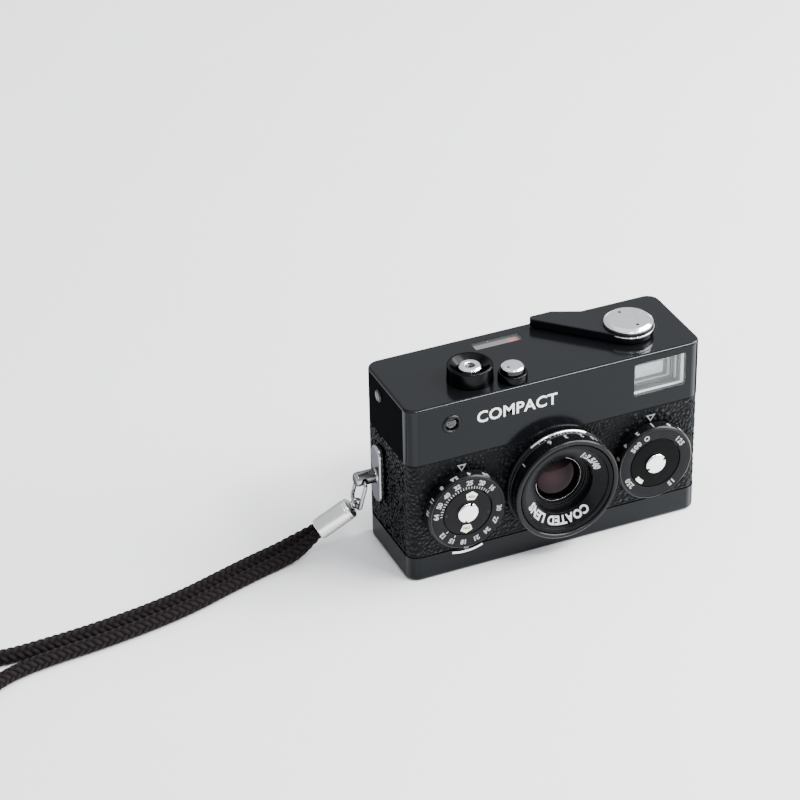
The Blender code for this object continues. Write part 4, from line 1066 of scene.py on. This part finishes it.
def make_lens():
    turned("lens_mount_ring", "camera", "bright_chrome",
           [(13.6, 0.25), (15.3, 0.25), (15.6, 0.1), (15.6, -0.6), (13.6, -0.6)], LENS, "front",
           "lens_flange", ring=True)
    turned("sliding_tube", "lens_tube", "chrome",
           [(12.4, 0.3), (13.4, 0.3), (13.4, -20.0), (12.4, -20.0)], LENS, "front", "lens_tube", ring=True)
    turned("shutter_body", "lens_barrel", "anodised",
           [(9.7, 4.6), (12.9, 4.6), (12.9, 3.2), (16.5, 3.2), (BARREL_RADIUS, 2.9), (BARREL_RADIUS, 0.6),
            (16.4, 0.35), (9.7, 0.35)], LENS, "front", "shutter_housing", ring=True, steps=192)
    # Painted highlight: the bead is anodised all round, and only its top arc, where the highlight falls, is
    # covered in bright chrome.
    bead, highlight_profile = ([(16.7 + x, 1.5 + z) for x, z in circle(radius)] for radius in (0.55, 0.61))
    turned("mount_bead", "lens_barrel", "anodised", bead, LENS, "front", ring=True, steps=192, radius=0.02)
    part_turned("painted_highlight_arc", "lens_barrel", "bright_chrome", highlight_profile, 60, 124, LENS, "front")
    turned("inner_cell", "lens_barrel", "matt_black",
           [(9.0, 0.3), (12.0, 0.3), (12.0, -11.0), (9.3, -11.0), (9.3, -4.6), (6.6, -4.3), (6.6, -3.9),
            (8.4, -2.2), (8.4, -1.2), (9.0, -0.6)], LENS, "front", "lens_cell", ring=True)
    for i in range(IRIS_LEAVES):
        angle = 360 * i / IRIS_LEAVES
        centre = Vector((math.cos(math.radians(angle)), math.sin(math.radians(angle)))) * 2.1
        crescent = (arc(centre, 6.3, angle - 80, angle + 80, 16)
                    + arc(centre, 3.2, angle + 80, angle - 80, 16))
        level = -4.75 - i * 0.06
        nodes = ("aperture_blades",) if i == 0 else ()
        plated(f"iris_leaf_{i}", "lens_barrel", "blades", crescent, level, level + 0.05, LENS, "front",
               *nodes, edge=0)
    turned("rear_element", "lens_barrel", "rear_glass",
           [(0, -5.9), (2.5, -6.1), (5.0, -6.7), (7.0, -7.6), (8.6, -8.9), (8.6, -10.6), (5.0, -9.9),
            (0, -9.4)],
           LENS, "front", "rear_lens", radius=1.2)
    turned("stepped_baffle", "focus_ring", "name_ring",
           [(9.5, 3.0), (9.2, 2.9), (9.2, 2.3), (8.7, 2.2), (8.7, 1.6), (8.2, 1.5), (8.2, 0.9), (7.3, 0.8),
            (7.3, 0.6), (9.5, 0.6)], LENS, "front", ring=True, radius=0.08)

    front = -corners("focus_ring")[0].y + FRONT
    edge = FOCUS_RADIUS
    turned("focus_grip", "focus_ring", "rim",
           [(15.45, front - 0.35), (15.7, front), (16.6, front), (edge, front - 0.35), (edge, 6.9),
            (edge, 6.85), (edge, 5.65), (edge, 5.6), (edge, 3.5), (16.7, 3.3), (13.3, 3.3), (13.3, 5.2),
            (15.45, 5.2)],
           LENS, "front", "focus_ring", ring=True, steps=540, radius=0.04,
           ripple=knurl(90, 0.16, 5.6, 6.9))
    turned("name_cone", "focus_ring", "name_ring",
           [(9.45, 3.5), (9.7, 4.95), (13.55, 6.75), (13.75, 6.75), (14.0, 7.35), (15.1, 7.55), (15.3, 7.3),
            (15.3, 5.5), (12.9, 5.5), (12.9, 4.7), (9.3, 3.0)], LENS, "front", "name_ring", ring=True,
           steps=192, radius=0.12)
    turned("element_seat", "focus_ring", "steel",
           [(7.35, 0.7), (7.35, 1.25), (7.45, 1.25), (7.85, 0.95), (7.85, 0.7)], LENS, "front", ring=True,
           radius=0.05, steps=160, slot="chrome")
    turned("front_element", "focus_ring", "front_glass",
           [(0, 2.9), (1.5, 2.85), (3.0, 2.65), (4.5, 2.25), (6.0, 1.65), (7.4, 0.95), (7.4, 0.5), (0, 0.5)],
           LENS, "front", "front_lens", radius=0.9, steps=160)


def make_lens_lettering():
    low, high = (9.7, 4.95), (13.55, 6.75)
    slope = (high[1] - low[1]) / (high[0] - low[0])
    ring = Print("lens_lettering", "focus_ring", "lens_ink")
    for words, radius, angle, size in (("COATED LENS", 11.75, 253, 2.5), ("1:3.5/40", 11.4, 40, 1.9)):
        height = low[1] + (radius - low[0]) * slope
        ring.text(words, size, around(radius, angle, height, slope), weight=0.13, spacing=1.06)
    ring.done(LENS, "front")

    scale = Print("distance_scale", "focus_ring", "grey_ink")
    metres = (("6", 106), ("3", 88), ("2", 70), ("1.5", 54), ("1", 36))
    scale.texts(metres, 1.75, lambda angle: on_side(FOCUS_RADIUS, angle, 4.65), weight=0.06)
    scale.bar(0.4, 1.7, on_side(FOCUS_RADIUS, 141, 4.65))
    scale.done(LENS, "front")

    depth = Print("depth_scale", "lens_barrel", "grey_ink")
    for offset in (3, 7, 12, 18, 25):
        for side in (-1, 1):
            depth.bar(0.22, 0.8, on_side(BARREL_RADIUS, 90 + side * offset, 2.45))
    depth.bar(0.4, 0.9, on_side(BARREL_RADIUS, 90, 2.45))
    depth.done(LENS, "front")


# ---------------------------------------------------------------- dials

def make_dial(at, side, dial_body, disc_body, dial_node, disc_node, screw_node, inner, disc_look,
              nick_turn):
    """A knurled dial with its scale ring, its inner disc and its centre screw with two spanner nicks."""
    edge = DIAL_RADIUS
    turned(side + "_dial_rim", dial_body, "rim",
           [(0, 3.2), (inner + 0.35, 3.2), (inner + 0.35, 3.9), (11.75, 4.15), (12.0, 4.3), (12.3, 4.1),
            (edge, 3.6), (edge, 1.95), (edge, 1.9), (edge, 0.9), (edge, 0.85), (edge - 0.2, 0.32),
            (4.0, 0.32), (4.0, -2.2), (0, -2.2)],
           at, "front", dial_node, steps=432, radius=0.05, ripple=knurl(72, 0.13, 0.9, 1.9))
    turned(side + "_dial_face", dial_body, "dial_ring",
           [(inner + 0.3, DIAL_FACE), (11.55, DIAL_FACE), (11.7, 4.1), (11.7, 3.9), (inner + 0.2, 3.9),
            (inner + 0.2, 4.1)],
           at, "front", ring=True, radius=0.05)
    turned(side + "_dial_disc", disc_body, disc_look,
           [(0, DIAL_DISC), (inner - 0.3, DIAL_DISC), (inner - 0.05, 4.0), (inner - 0.05, 3.4), (0, 3.4)],
           at, "front", disc_node, radius=0.08)
    profile = soft([(0, 5.05), (2.9, 5.0), (3.3, 4.7), (3.3, 4.25), (0, 4.25)], 0.15)
    screw = mesh_object(side + "_slotted_screw", lathe(profile), at, "front")
    nicks = []
    for angle in (nick_turn - 90, nick_turn + 90):
        nick = box("nick", (-0.45, 2.5, 4.2), (0.45, 4.0, 6.0), corner=0.2, steps=3)
        nick.matrix_world = screw.matrix_world @ Matrix.Rotation(math.radians(angle), 4, "Z")
        nicks.append(nick)
    finished(carved(screw, *nicks), dial_body, "spun_aluminium", screw_node)


def make_left_dial():
    make_dial(LEFT_DIAL, "left", "aperture_dial", "film_speed_disc", "aperture_dial", "film_speed_disc",
              "aperture_dial_screw", 7.8, "dial_disc", 72)
    face = Print("left_dial_figures", "aperture_dial", "figure_ink")
    speeds = (("12", 217), ("15", 239), ("18", 262), ("21", 285), ("24", 307), ("27", 330), ("30", 353),
              ("16", 40), ("20", 63), ("25", 86), ("32", 109), ("40", 131), ("50", 152), ("64", 174))
    face.texts(speeds, 1.6, lambda angle: around(10.35, angle, DIAL_FACE), weight=0.09, spacing=0.94)
    for i in range(24):
        face.bar(0.24, 0.75 if i % 3 else 0.95, around(8.6, 40 + i * 5.9, DIAL_FACE))
    for angle in (218, 240):
        face.bar(0.3, 0.8, around(8.6, angle, DIAL_FACE))
    face.done(LEFT_DIAL, "front")

    rim = Print("aperture_figures", "aperture_dial", "figure_ink")
    stops = (("16", 169), ("11", 150), ("8", 128), ("5.6", 107), ("4", 85), ("3.5", 59))
    rim.texts(stops, 1.5, lambda angle: on_side(DIAL_RADIUS, angle, 2.85), weight=0.09, spacing=0.95)
    rim.done(LEFT_DIAL, "front")

    marks = Print("film_speed_marks", "film_speed_disc", "cream_ink")
    tags = Print("film_speed_figures", "film_speed_disc", "black_ink", slot="black_anodised")
    for angle, words in ((77, "ASA"), (265, "DIN")):
        pentagon = [(-1.55, -1.3), (1.55, -1.3), (1.75, 0.7), (0.0, 1.5), (-1.75, 0.7)]
        marks.shape(pentagon, around(5.75, angle, DIAL_DISC))
        tags.text(words, 0.95, around(5.5, angle, DIAL_DISC + 0.04), weight=0.03)
    marks.done(LEFT_DIAL, "front")
    tags.done(LEFT_DIAL, "front")
    # Painted shade: black dots stand for the disc's two pin holes, which are not cut.
    holes = Print("pin_holes", "film_speed_disc", "black_ink", slot="black_anodised")
    for angle in (-14, 176):
        x, y = arc((0, 0), 7.0, angle, angle, 1)[0]
        holes.shape(circle(0.42), flat((x, y, DIAL_DISC)))
    holes.done(LEFT_DIAL, "front")


def make_right_dial():
    make_dial(RIGHT_DIAL, "right", "speed_dial", "film_type_disc", "shutter_speed_dial", "film_type_disc",
              "speed_dial_screw", 8.3, "spun_disc", 26)
    face = Print("right_dial_figures", "speed_dial", "figure_ink")
    speeds = (("500", 132), ("O", 108), ("125", 36), ("15", 304), ("250", 210))
    face.texts(speeds, 1.7, lambda angle: around(10.15, angle, DIAL_FACE), weight=0.09, spacing=1.16)
    face.done(RIGHT_DIAL, "front")

    rim = Print("speed_figures", "speed_dial", "figure_ink")
    slow_speeds = (("8", 162), ("4", 140), ("2", 117), ("B", 67), ("30", 45))
    rim.texts(slow_speeds, 1.5, lambda angle: on_side(DIAL_RADIUS, angle, 2.85), weight=0.09)
    rim.bar(0.32, 2.4, on_side(DIAL_RADIUS, 92, 2.2))
    rim.done(RIGHT_DIAL, "front")

    mark = Print("film_type_mark", "film_type_disc", "cream_ink")
    mark.bar(2.9, 1.3, around(7.2, 222, DIAL_DISC))
    mark.done(RIGHT_DIAL, "front")


def make_lock_lever():
    outline = arc((0, 0), 15.7, 254, 292, 30) + arc((0, 0), 14.8, 292, 254, 30)
    plated("lock_tab", "dial_lock", "bright_chrome", outline, 1.3, 2.2, LEFT_DIAL, "front", "dial_lock_lever",
           edge=0.22)
    boxed("lock_web", "dial_lock", "dull_chrome", (-31.4, FRONT - 1.5, 8.4), (-29.8, FRONT - 0.15, 10.3),
          corner=0.2, axis=1)
    slot = Print("lock_slot_shadow", "camera", "black_ink")
    slot.bar(2.4, 2.2, flat((-30.6, 9.6, 0.0)))
    slot.done((0, FRONT, 0), "front")


# ---------------------------------------------------------------- back and base fittings

def make_base():
    shoe_low, shoe_high = corners("hot_shoe")
    shoe = box("accessory_shoe", shoe_low, shoe_high, corner=0.6, rim=0.15, rim_sides=(-1, 1))
    x = (shoe_low.x + shoe_high.x) / 2
    tools = [box("slot", (x - 9.3, shoe_low.y + 0.8, 0.9), (x + 9.3, shoe_high.y + 2, 2.2)),
             box("mouth", (x - 6.3, shoe_low.y + 0.8, -1), (x + 6.3, shoe_high.y + 2, 1.5))]
    finished(carved(shoe, *tools), "back", "bright_chrome", "hot_shoe")
    turned("contact_button", "back", "steel", [(0, 2.1), (1.4, 2.1), (1.4, 1.7), (1.1, 1.3), (0, 1.15)],
           on_base(middle("shoe_contact")), "up", "shoe_contact", radius=0.2)
    thread_depth, pitch = 0.28, 0.85
    profile = [(4.6, 4.3), (4.6, 0.15), (4.45, 0.0), (3.5, 0.0)]
    for i in range(5):
        level = 0.35 + i * pitch
        profile += [(3.2, level), (3.2, level + 0.1), (3.2 + thread_depth, level + pitch / 2)]
    profile += [(3.2, 4.3)]
    turned("threaded_bush", "back", "steel", profile, BUSH, "up", "tripod_bush", ring=True, radius=0.06)
    turned("counter_pane", "back", "window_glass",
           [(0, 0.95), (2.3, 0.95), (2.3, 0.3), (2.0, 0.15), (0, 0.15)], COUNTER_WINDOW, "up",
           "counter_window")
    figures = Print("counter_figures", "frame_counter", "white_ink", slot="black_plastic")
    counts = ["36", "S"] + [str(count) for count in range(2, 36, 2)]
    figures.texts(((words, -i * 360 / len(counts)) for i, words in enumerate(counts)), 1.05,
                  lambda angle: around(4.6, angle, -4.66), weight=0.03)
    figures.done(on_base(middle("frame_counter_disc")), "down")


def make_latch():
    turned("latch_disc", "latch", "chrome",
           [(0, 7.4), (1.6, 7.4), (1.6, 2.35), (5.5, 2.35), (5.65, 2.2), (5.65, 1.75), (5.5, 1.6),
            (0, 1.6)], LATCH, "up", "back_latch", radius=0.1)
    half_moon = arc((0, 0), 5.5, 8, 172, 40)
    plated("folding_wing", "latch_wing", "bright_chrome", half_moon, 0.35, 1.2, LATCH, "up", "latch_wing",
           edge=0.2)


def make_rewind():
    turned("rewind_disc", "rewind", "chrome",
           [(0, 9.6), (2.0, 9.6), (2.0, 2.45), (8.1, 2.45), (8.3, 2.25), (8.3, 1.85), (8.1, 1.65),
            (0, 1.65)], CRANK, "up", "rewind_shaft", radius=0.1)
    boxed("rewind_fork", "rewind", "steel", (CRANK.x - 0.6, CRANK.y - 2.2, 9.2),
          (CRANK.x + 0.6, CRANK.y + 2.2, 14.0), corner=0.2, axis=1, steps=3)
    start = corners("rewind_crank")[0].x - CRANK.x + 1.6
    outline = (arc((start, 0), 1.6, 90, 270, 16) + [(start + 8.4, -1.1)] + arc((5.4, 0), 2.5, -120, 120, 24)
               + [(start + 8.4, 1.1)])
    plated("crank_arm", "rewind_crank", "bright_chrome", outline, 0.38, 1.3, CRANK, "up", "rewind_crank",
           edge=0.18)
    turned("crank_rivet", "rewind_crank", "chrome",
           [(0, 0.45), (1.2, 0.45), (1.2, 0.3), (0.9, 0.22), (0, 0.2)], CRANK + Vector((5.4, 0, 0)), "up",
           radius=0.08)


def make_rewind_release():
    at = JOINT_AT["rewind_release_turn"]
    outline = arc((0, 0), 2.6, 20, 340, 40) + [(8.4, -1.6)] + arc((8.6, 0), 1.0, -60, 60, 8) + [(8.4, 1.6)]
    plated("release_lever_blade", "rewind_release", "bright_chrome", outline, 0.3, 1.5, at, "back",
           "rewind_release_lever", edge=0.25)
    turned("release_lever_boss", "rewind_release", "chrome",
           [(0, 1.85), (1.1, 1.85), (1.5, 1.6), (1.5, 1.3), (0, 1.3)], at, "back", radius=0.1)
    letter = Print("rewind_letter", "camera", "white_ink")
    letter.text("R", 1.9, flat((at.x + 12.4, -at.z, 0.0), turn=180), weight=0.08)
    letter.done((0, BACK, 0), "back")


# ---------------------------------------------------------------- strap

def make_lug():
    low, high = corners("strap_plate")
    centre = (low + high) / 2
    half_width, half_length = (high.y - low.y) / 2, (high.z - low.z) / 2
    outline = (arc((half_length - half_width, 0), half_width, -90, 90, 32)
               + arc((half_width - half_length, 0), half_width, 90, 270, 32))
    plated("lug_plate", "camera", "dull_chrome", outline, 0.0, 1.8, (-HALF - 0.1, centre.y, centre.z), "left",
           "strap_plate", edge=0.5)
    length = -corners("strap_post")[0].x - HALF
    profile = soft([(0, length), (1.8, length), (2.2, length - 0.5), (2.2, 2.2), (2.6, 1.8), (2.6, 1.2),
                    (0, 1.2)], 0.2)
    post = mesh_object("lug_post", lathe(profile, 96), (-HALF, POST_HOLE.y, POST_HOLE.z), "left")
    hole = rod("link_hole", 1.0, -4, 4, POST_HOLE, "back", 48)
    finished(carved(post, hole), "camera", "steel", "strap_post")


def link_points():
    """A long wire link with round corners, hung in the post and holding the ferrule's eye."""
    down = EYE - POST_HOLE
    drop = down.length
    down.normalize()
    across = Vector((0, 1, 0)) - down * down.y
    across.normalize()
    radius, half_width = 1.3, 3.3
    side, end = half_width - radius, drop / 2 - radius
    outline = []
    for sx, sy, start in ((1, 1, 0), (-1, 1, 90), (-1, -1, 180), (1, -1, 270)):
        outline += arc((sx * side, sy * end), radius, start, start + 90, 12)
    centre = (EYE + POST_HOLE) / 2
    return [centre + across * x + down * y for x, y in outline]


def make_link():
    link = wire("wire_link", link_points(), 0.6, closed=True, at=POST_HOLE)
    finished(link, "strap_link", "steel", "strap_link")


def route_points(step):
    """Points at an even spacing along a Catmull-Rom curve through the cord's route."""
    knots = [Vector(point) for point in CORD_ROUTE]
    knots = [knots[0] * 2 - knots[1]] + knots + [knots[-1] * 2 - knots[-2]]
    fine = []
    for a, b, c, d in zip(knots, knots[1:], knots[2:], knots[3:]):
        for i in range(40):
            t = i / 40
            fine.append(0.5 * (2 * b + (c - a) * t + (2 * a - 5 * b + 4 * c - d) * t * t
                               + (3 * b - a - 3 * c + d) * t ** 3))
    fine.append(knots[-2])
    line = np.array(fine)
    walked = np.concatenate(([0], np.cumsum(np.linalg.norm(np.diff(line, axis=0), axis=1))))
    wanted = np.linspace(0, walked[-1], round(walked[-1] / step) + 1)
    return np.stack([np.interp(wanted, walked, line[:, k]) for k in range(3)], axis=1), walked[-1]


def make_cord():
    """A round braid whose strands go over two and under two."""
    points, length = route_points(0.25)
    sides = 60
    tangents = np.gradient(points, axis=0)
    tangents /= np.linalg.norm(tangents, axis=1)[:, None]
    up = np.tile(np.array((0.0, 0.0, 1.0)), (len(points), 1))
    beside = np.cross(tangents, up)
    beside /= np.linalg.norm(beside, axis=1)[:, None]
    above = np.cross(beside, tangents)
    along = np.linspace(0, length, len(points))[:, None]
    turn = (np.arange(sides) / sides)[None, :]
    right = BRAID_STRANDS * (turn + along / BRAID_LEAD)
    left = BRAID_STRANDS * (turn - along / BRAID_LEAD)
    over = (np.floor(right).astype(int) + np.floor(left).astype(int)) % 4 < 2
    phase = np.where(over, right, left)
    crossed = np.where(over, (np.floor(right) + left) % 4, (np.floor(left) + right) % 4 - 2) / 2
    across = np.abs(np.sin(np.pi * (phase % 1.0))) ** 0.6
    arch = np.sin(np.pi * np.clip(crossed, 0, 1)) ** 0.7
    crown = across * (0.4 + 0.6 * arch)
    ends = np.minimum(along, length - along)
    radius = CORD_END_RADIUS + (CORD_DIAMETER / 2 - CORD_END_RADIUS) * np.clip(ends / CORD_TAPER, 0, 1)
    reach = radius - 0.62 * (1 - crown) + 0.08
    angle = 2 * np.pi * turn
    surface = (points[:, None, :] + reach[:, :, None]
               * (np.cos(angle)[:, :, None] * beside[:, None, :]
                  + np.sin(angle)[:, :, None] * above[:, None, :]))
    rows = len(points)
    verts = surface.reshape(-1, 3)
    index = np.arange(rows * sides).reshape(rows, sides)
    following = np.roll(index, -1, axis=1)
    faces = np.stack((index[:-1], following[:-1], following[1:], index[1:]), axis=-1).reshape(-1, 4)
    mesh = bpy.data.meshes.new("braided_wrist_cord")
    caps = [index[0][::-1].tolist(), index[-1].tolist()]
    mesh.from_pydata((verts * MM).tolist(), [], faces.tolist() + caps)
    mesh.update()
    for name, values in (("crown", crown), ("filament", phase * 2 * np.pi * 5)):
        attribute = mesh.attributes.new(name, "FLOAT", "POINT")
        attribute.data.foreach_set("value", values.reshape(-1).astype(np.float32))
    mesh.shade_smooth()
    cord = placed("braided_wrist_cord", mesh)
    finished(cord, "strap", "braid", "wrist_cord")


def make_ferrule():
    towards = (Vector((-66.9, 9.6, 9.5)) - EYE).normalized()
    turn = Vector((0, 0, 1)).rotation_difference(towards).to_matrix().to_4x4()
    place = Matrix.Translation(EYE * MM) @ turn
    profile = soft([(0, 14.0), (2.9, 14.2), (3.3, 13.9), (3.3, 3.4), (3.15, 3.1), (3.15, 2.8), (3.3, 2.5),
                    (2.9, 1.9), (0, 1.9)], 0.22)
    sleeve = mesh_object("cord_ferrule", lathe(profile))
    sleeve.matrix_world = place
    finished(sleeve, "strap", "brushed_aluminium", "strap_ferrule")
    ring = [EYE + Vector((x, 0, z)) for x, z in arc((0, 0), 1.5, 0, 352.5, 47)]
    finished(wire("ferrule_eye", ring, 0.5, closed=True), "strap", "steel", slot="bare_aluminium")
    profile = soft([(0, 2.3), (1.5, 2.3), (1.1, 1.7), (0.9, 1.5), (0, 1.5)], 0.1)
    neck = mesh_object("ferrule_neck", lathe(profile, 48))
    neck.matrix_world = place
    finished(neck, "strap", "steel", slot="bare_aluminium")


# ---------------------------------------------------------------- the stage

def make_camera():
    azimuth, elevation = math.radians(CAMERA_AZIMUTH), math.radians(CAMERA_ELEVATION)
    back = Vector((math.sin(azimuth) * math.cos(elevation), -math.cos(azimuth) * math.cos(elevation),
                   math.sin(elevation)))
    right = Vector((math.cos(azimuth), math.sin(azimuth), 0))
    up = back.cross(right)
    roll = math.radians(CAMERA_ROLL)
    rolled_right = right * math.cos(roll) + up * math.sin(roll)
    rolled_up = up * math.cos(roll) - right * math.sin(roll)
    lens = bpy.data.cameras.new("camera")
    lens.lens = CAMERA_LENS
    lens.sensor_width = 36.0
    lens.clip_start = 0.01
    camera = placed("camera", lens)
    rotation = Matrix((rolled_right, rolled_up, back)).transposed().to_4x4()
    camera.matrix_world = Matrix.Translation(CAMERA_AT) @ rotation
    bpy.context.scene.camera = camera


def soft_light(name, at, aim, size, power):
    """A rectangular lamp. Its place and size are in metres and its power in watts."""
    data = bpy.data.lights.new(name, "AREA")
    data.shape = "RECTANGLE"
    data.size, data.size_y = size
    data.energy = power
    light = placed(name, data)
    light.location = at
    light.rotation_euler = (Vector(aim) - Vector(at)).to_track_quat("-Z", "Y").to_euler()


def make_stage():
    bm = bmesh.new()
    bmesh.ops.create_grid(bm, x_segments=8, y_segments=8, size=2500)
    floor = mesh_object("floor", bm, (0, 0, -0.15))
    f = Finish((0.80, 0.805, 0.82), 0.55)
    f.paint(f.blotches(0.004, 4.0, 0.3, 0.7), (0.79, 0.795, 0.81), (0.82, 0.825, 0.84))
    floor.data.materials.append(f.material)
    world = bpy.data.worlds.new("studio")
    world.use_nodes = True
    world.node_tree.nodes["Background"].inputs[0].default_value = (0.95, 0.97, 1.0, 1.0)
    world.node_tree.nodes["Background"].inputs[1].default_value = 0.82
    bpy.context.scene.world = world
    soft_light("overhead", (0.1, 0.25, 1.7), (0, 0, 0), (2.4, 2.0), 9)
    soft_light("side", (0.95, -0.25, 0.75), (0.05, 0, 0), (1.0, 1.0), 66)
    soft_light("lamp_front", (-0.05, -0.75, 1.17), (0, 0, 0), (0.24, 0.24), 8)
    soft_light("lamp_right", (0.56, -0.74, 1.12), (0, 0, 0), (0.34, 0.22), 13)


# ---------------------------------------------------------------- all of it

make_camera()
make_cord()
make_stage()
make_front_skin()
make_back_skin()
make_top_cover()
make_cover_screws()
make_name()
make_index_marks()
make_back_cover()
make_finder()
make_cell()
make_meter()
make_release()
make_lens_button()
make_lever()
make_lens()
make_lens_lettering()
make_left_dial()
make_right_dial()
make_lock_lever()
make_base()
make_latch()
make_rewind()
make_rewind_release()
make_lug()
make_link()
make_ferrule()

dress("casting", "chassis")
dress("matt_black", "pressure_plate", "follow_pointer")
dress("red_ink", "meter_needle")
dress("brushed_aluminium", "meter_movement")
dress("window_glass", "finder_objective")
dress("steel", "battery", "transfer_shaft", "film_sprocket")
dress("brass", "advance_gear")
dress("black_plastic", "takeup_spool", "frame_counter_disc", "finder_tunnel")
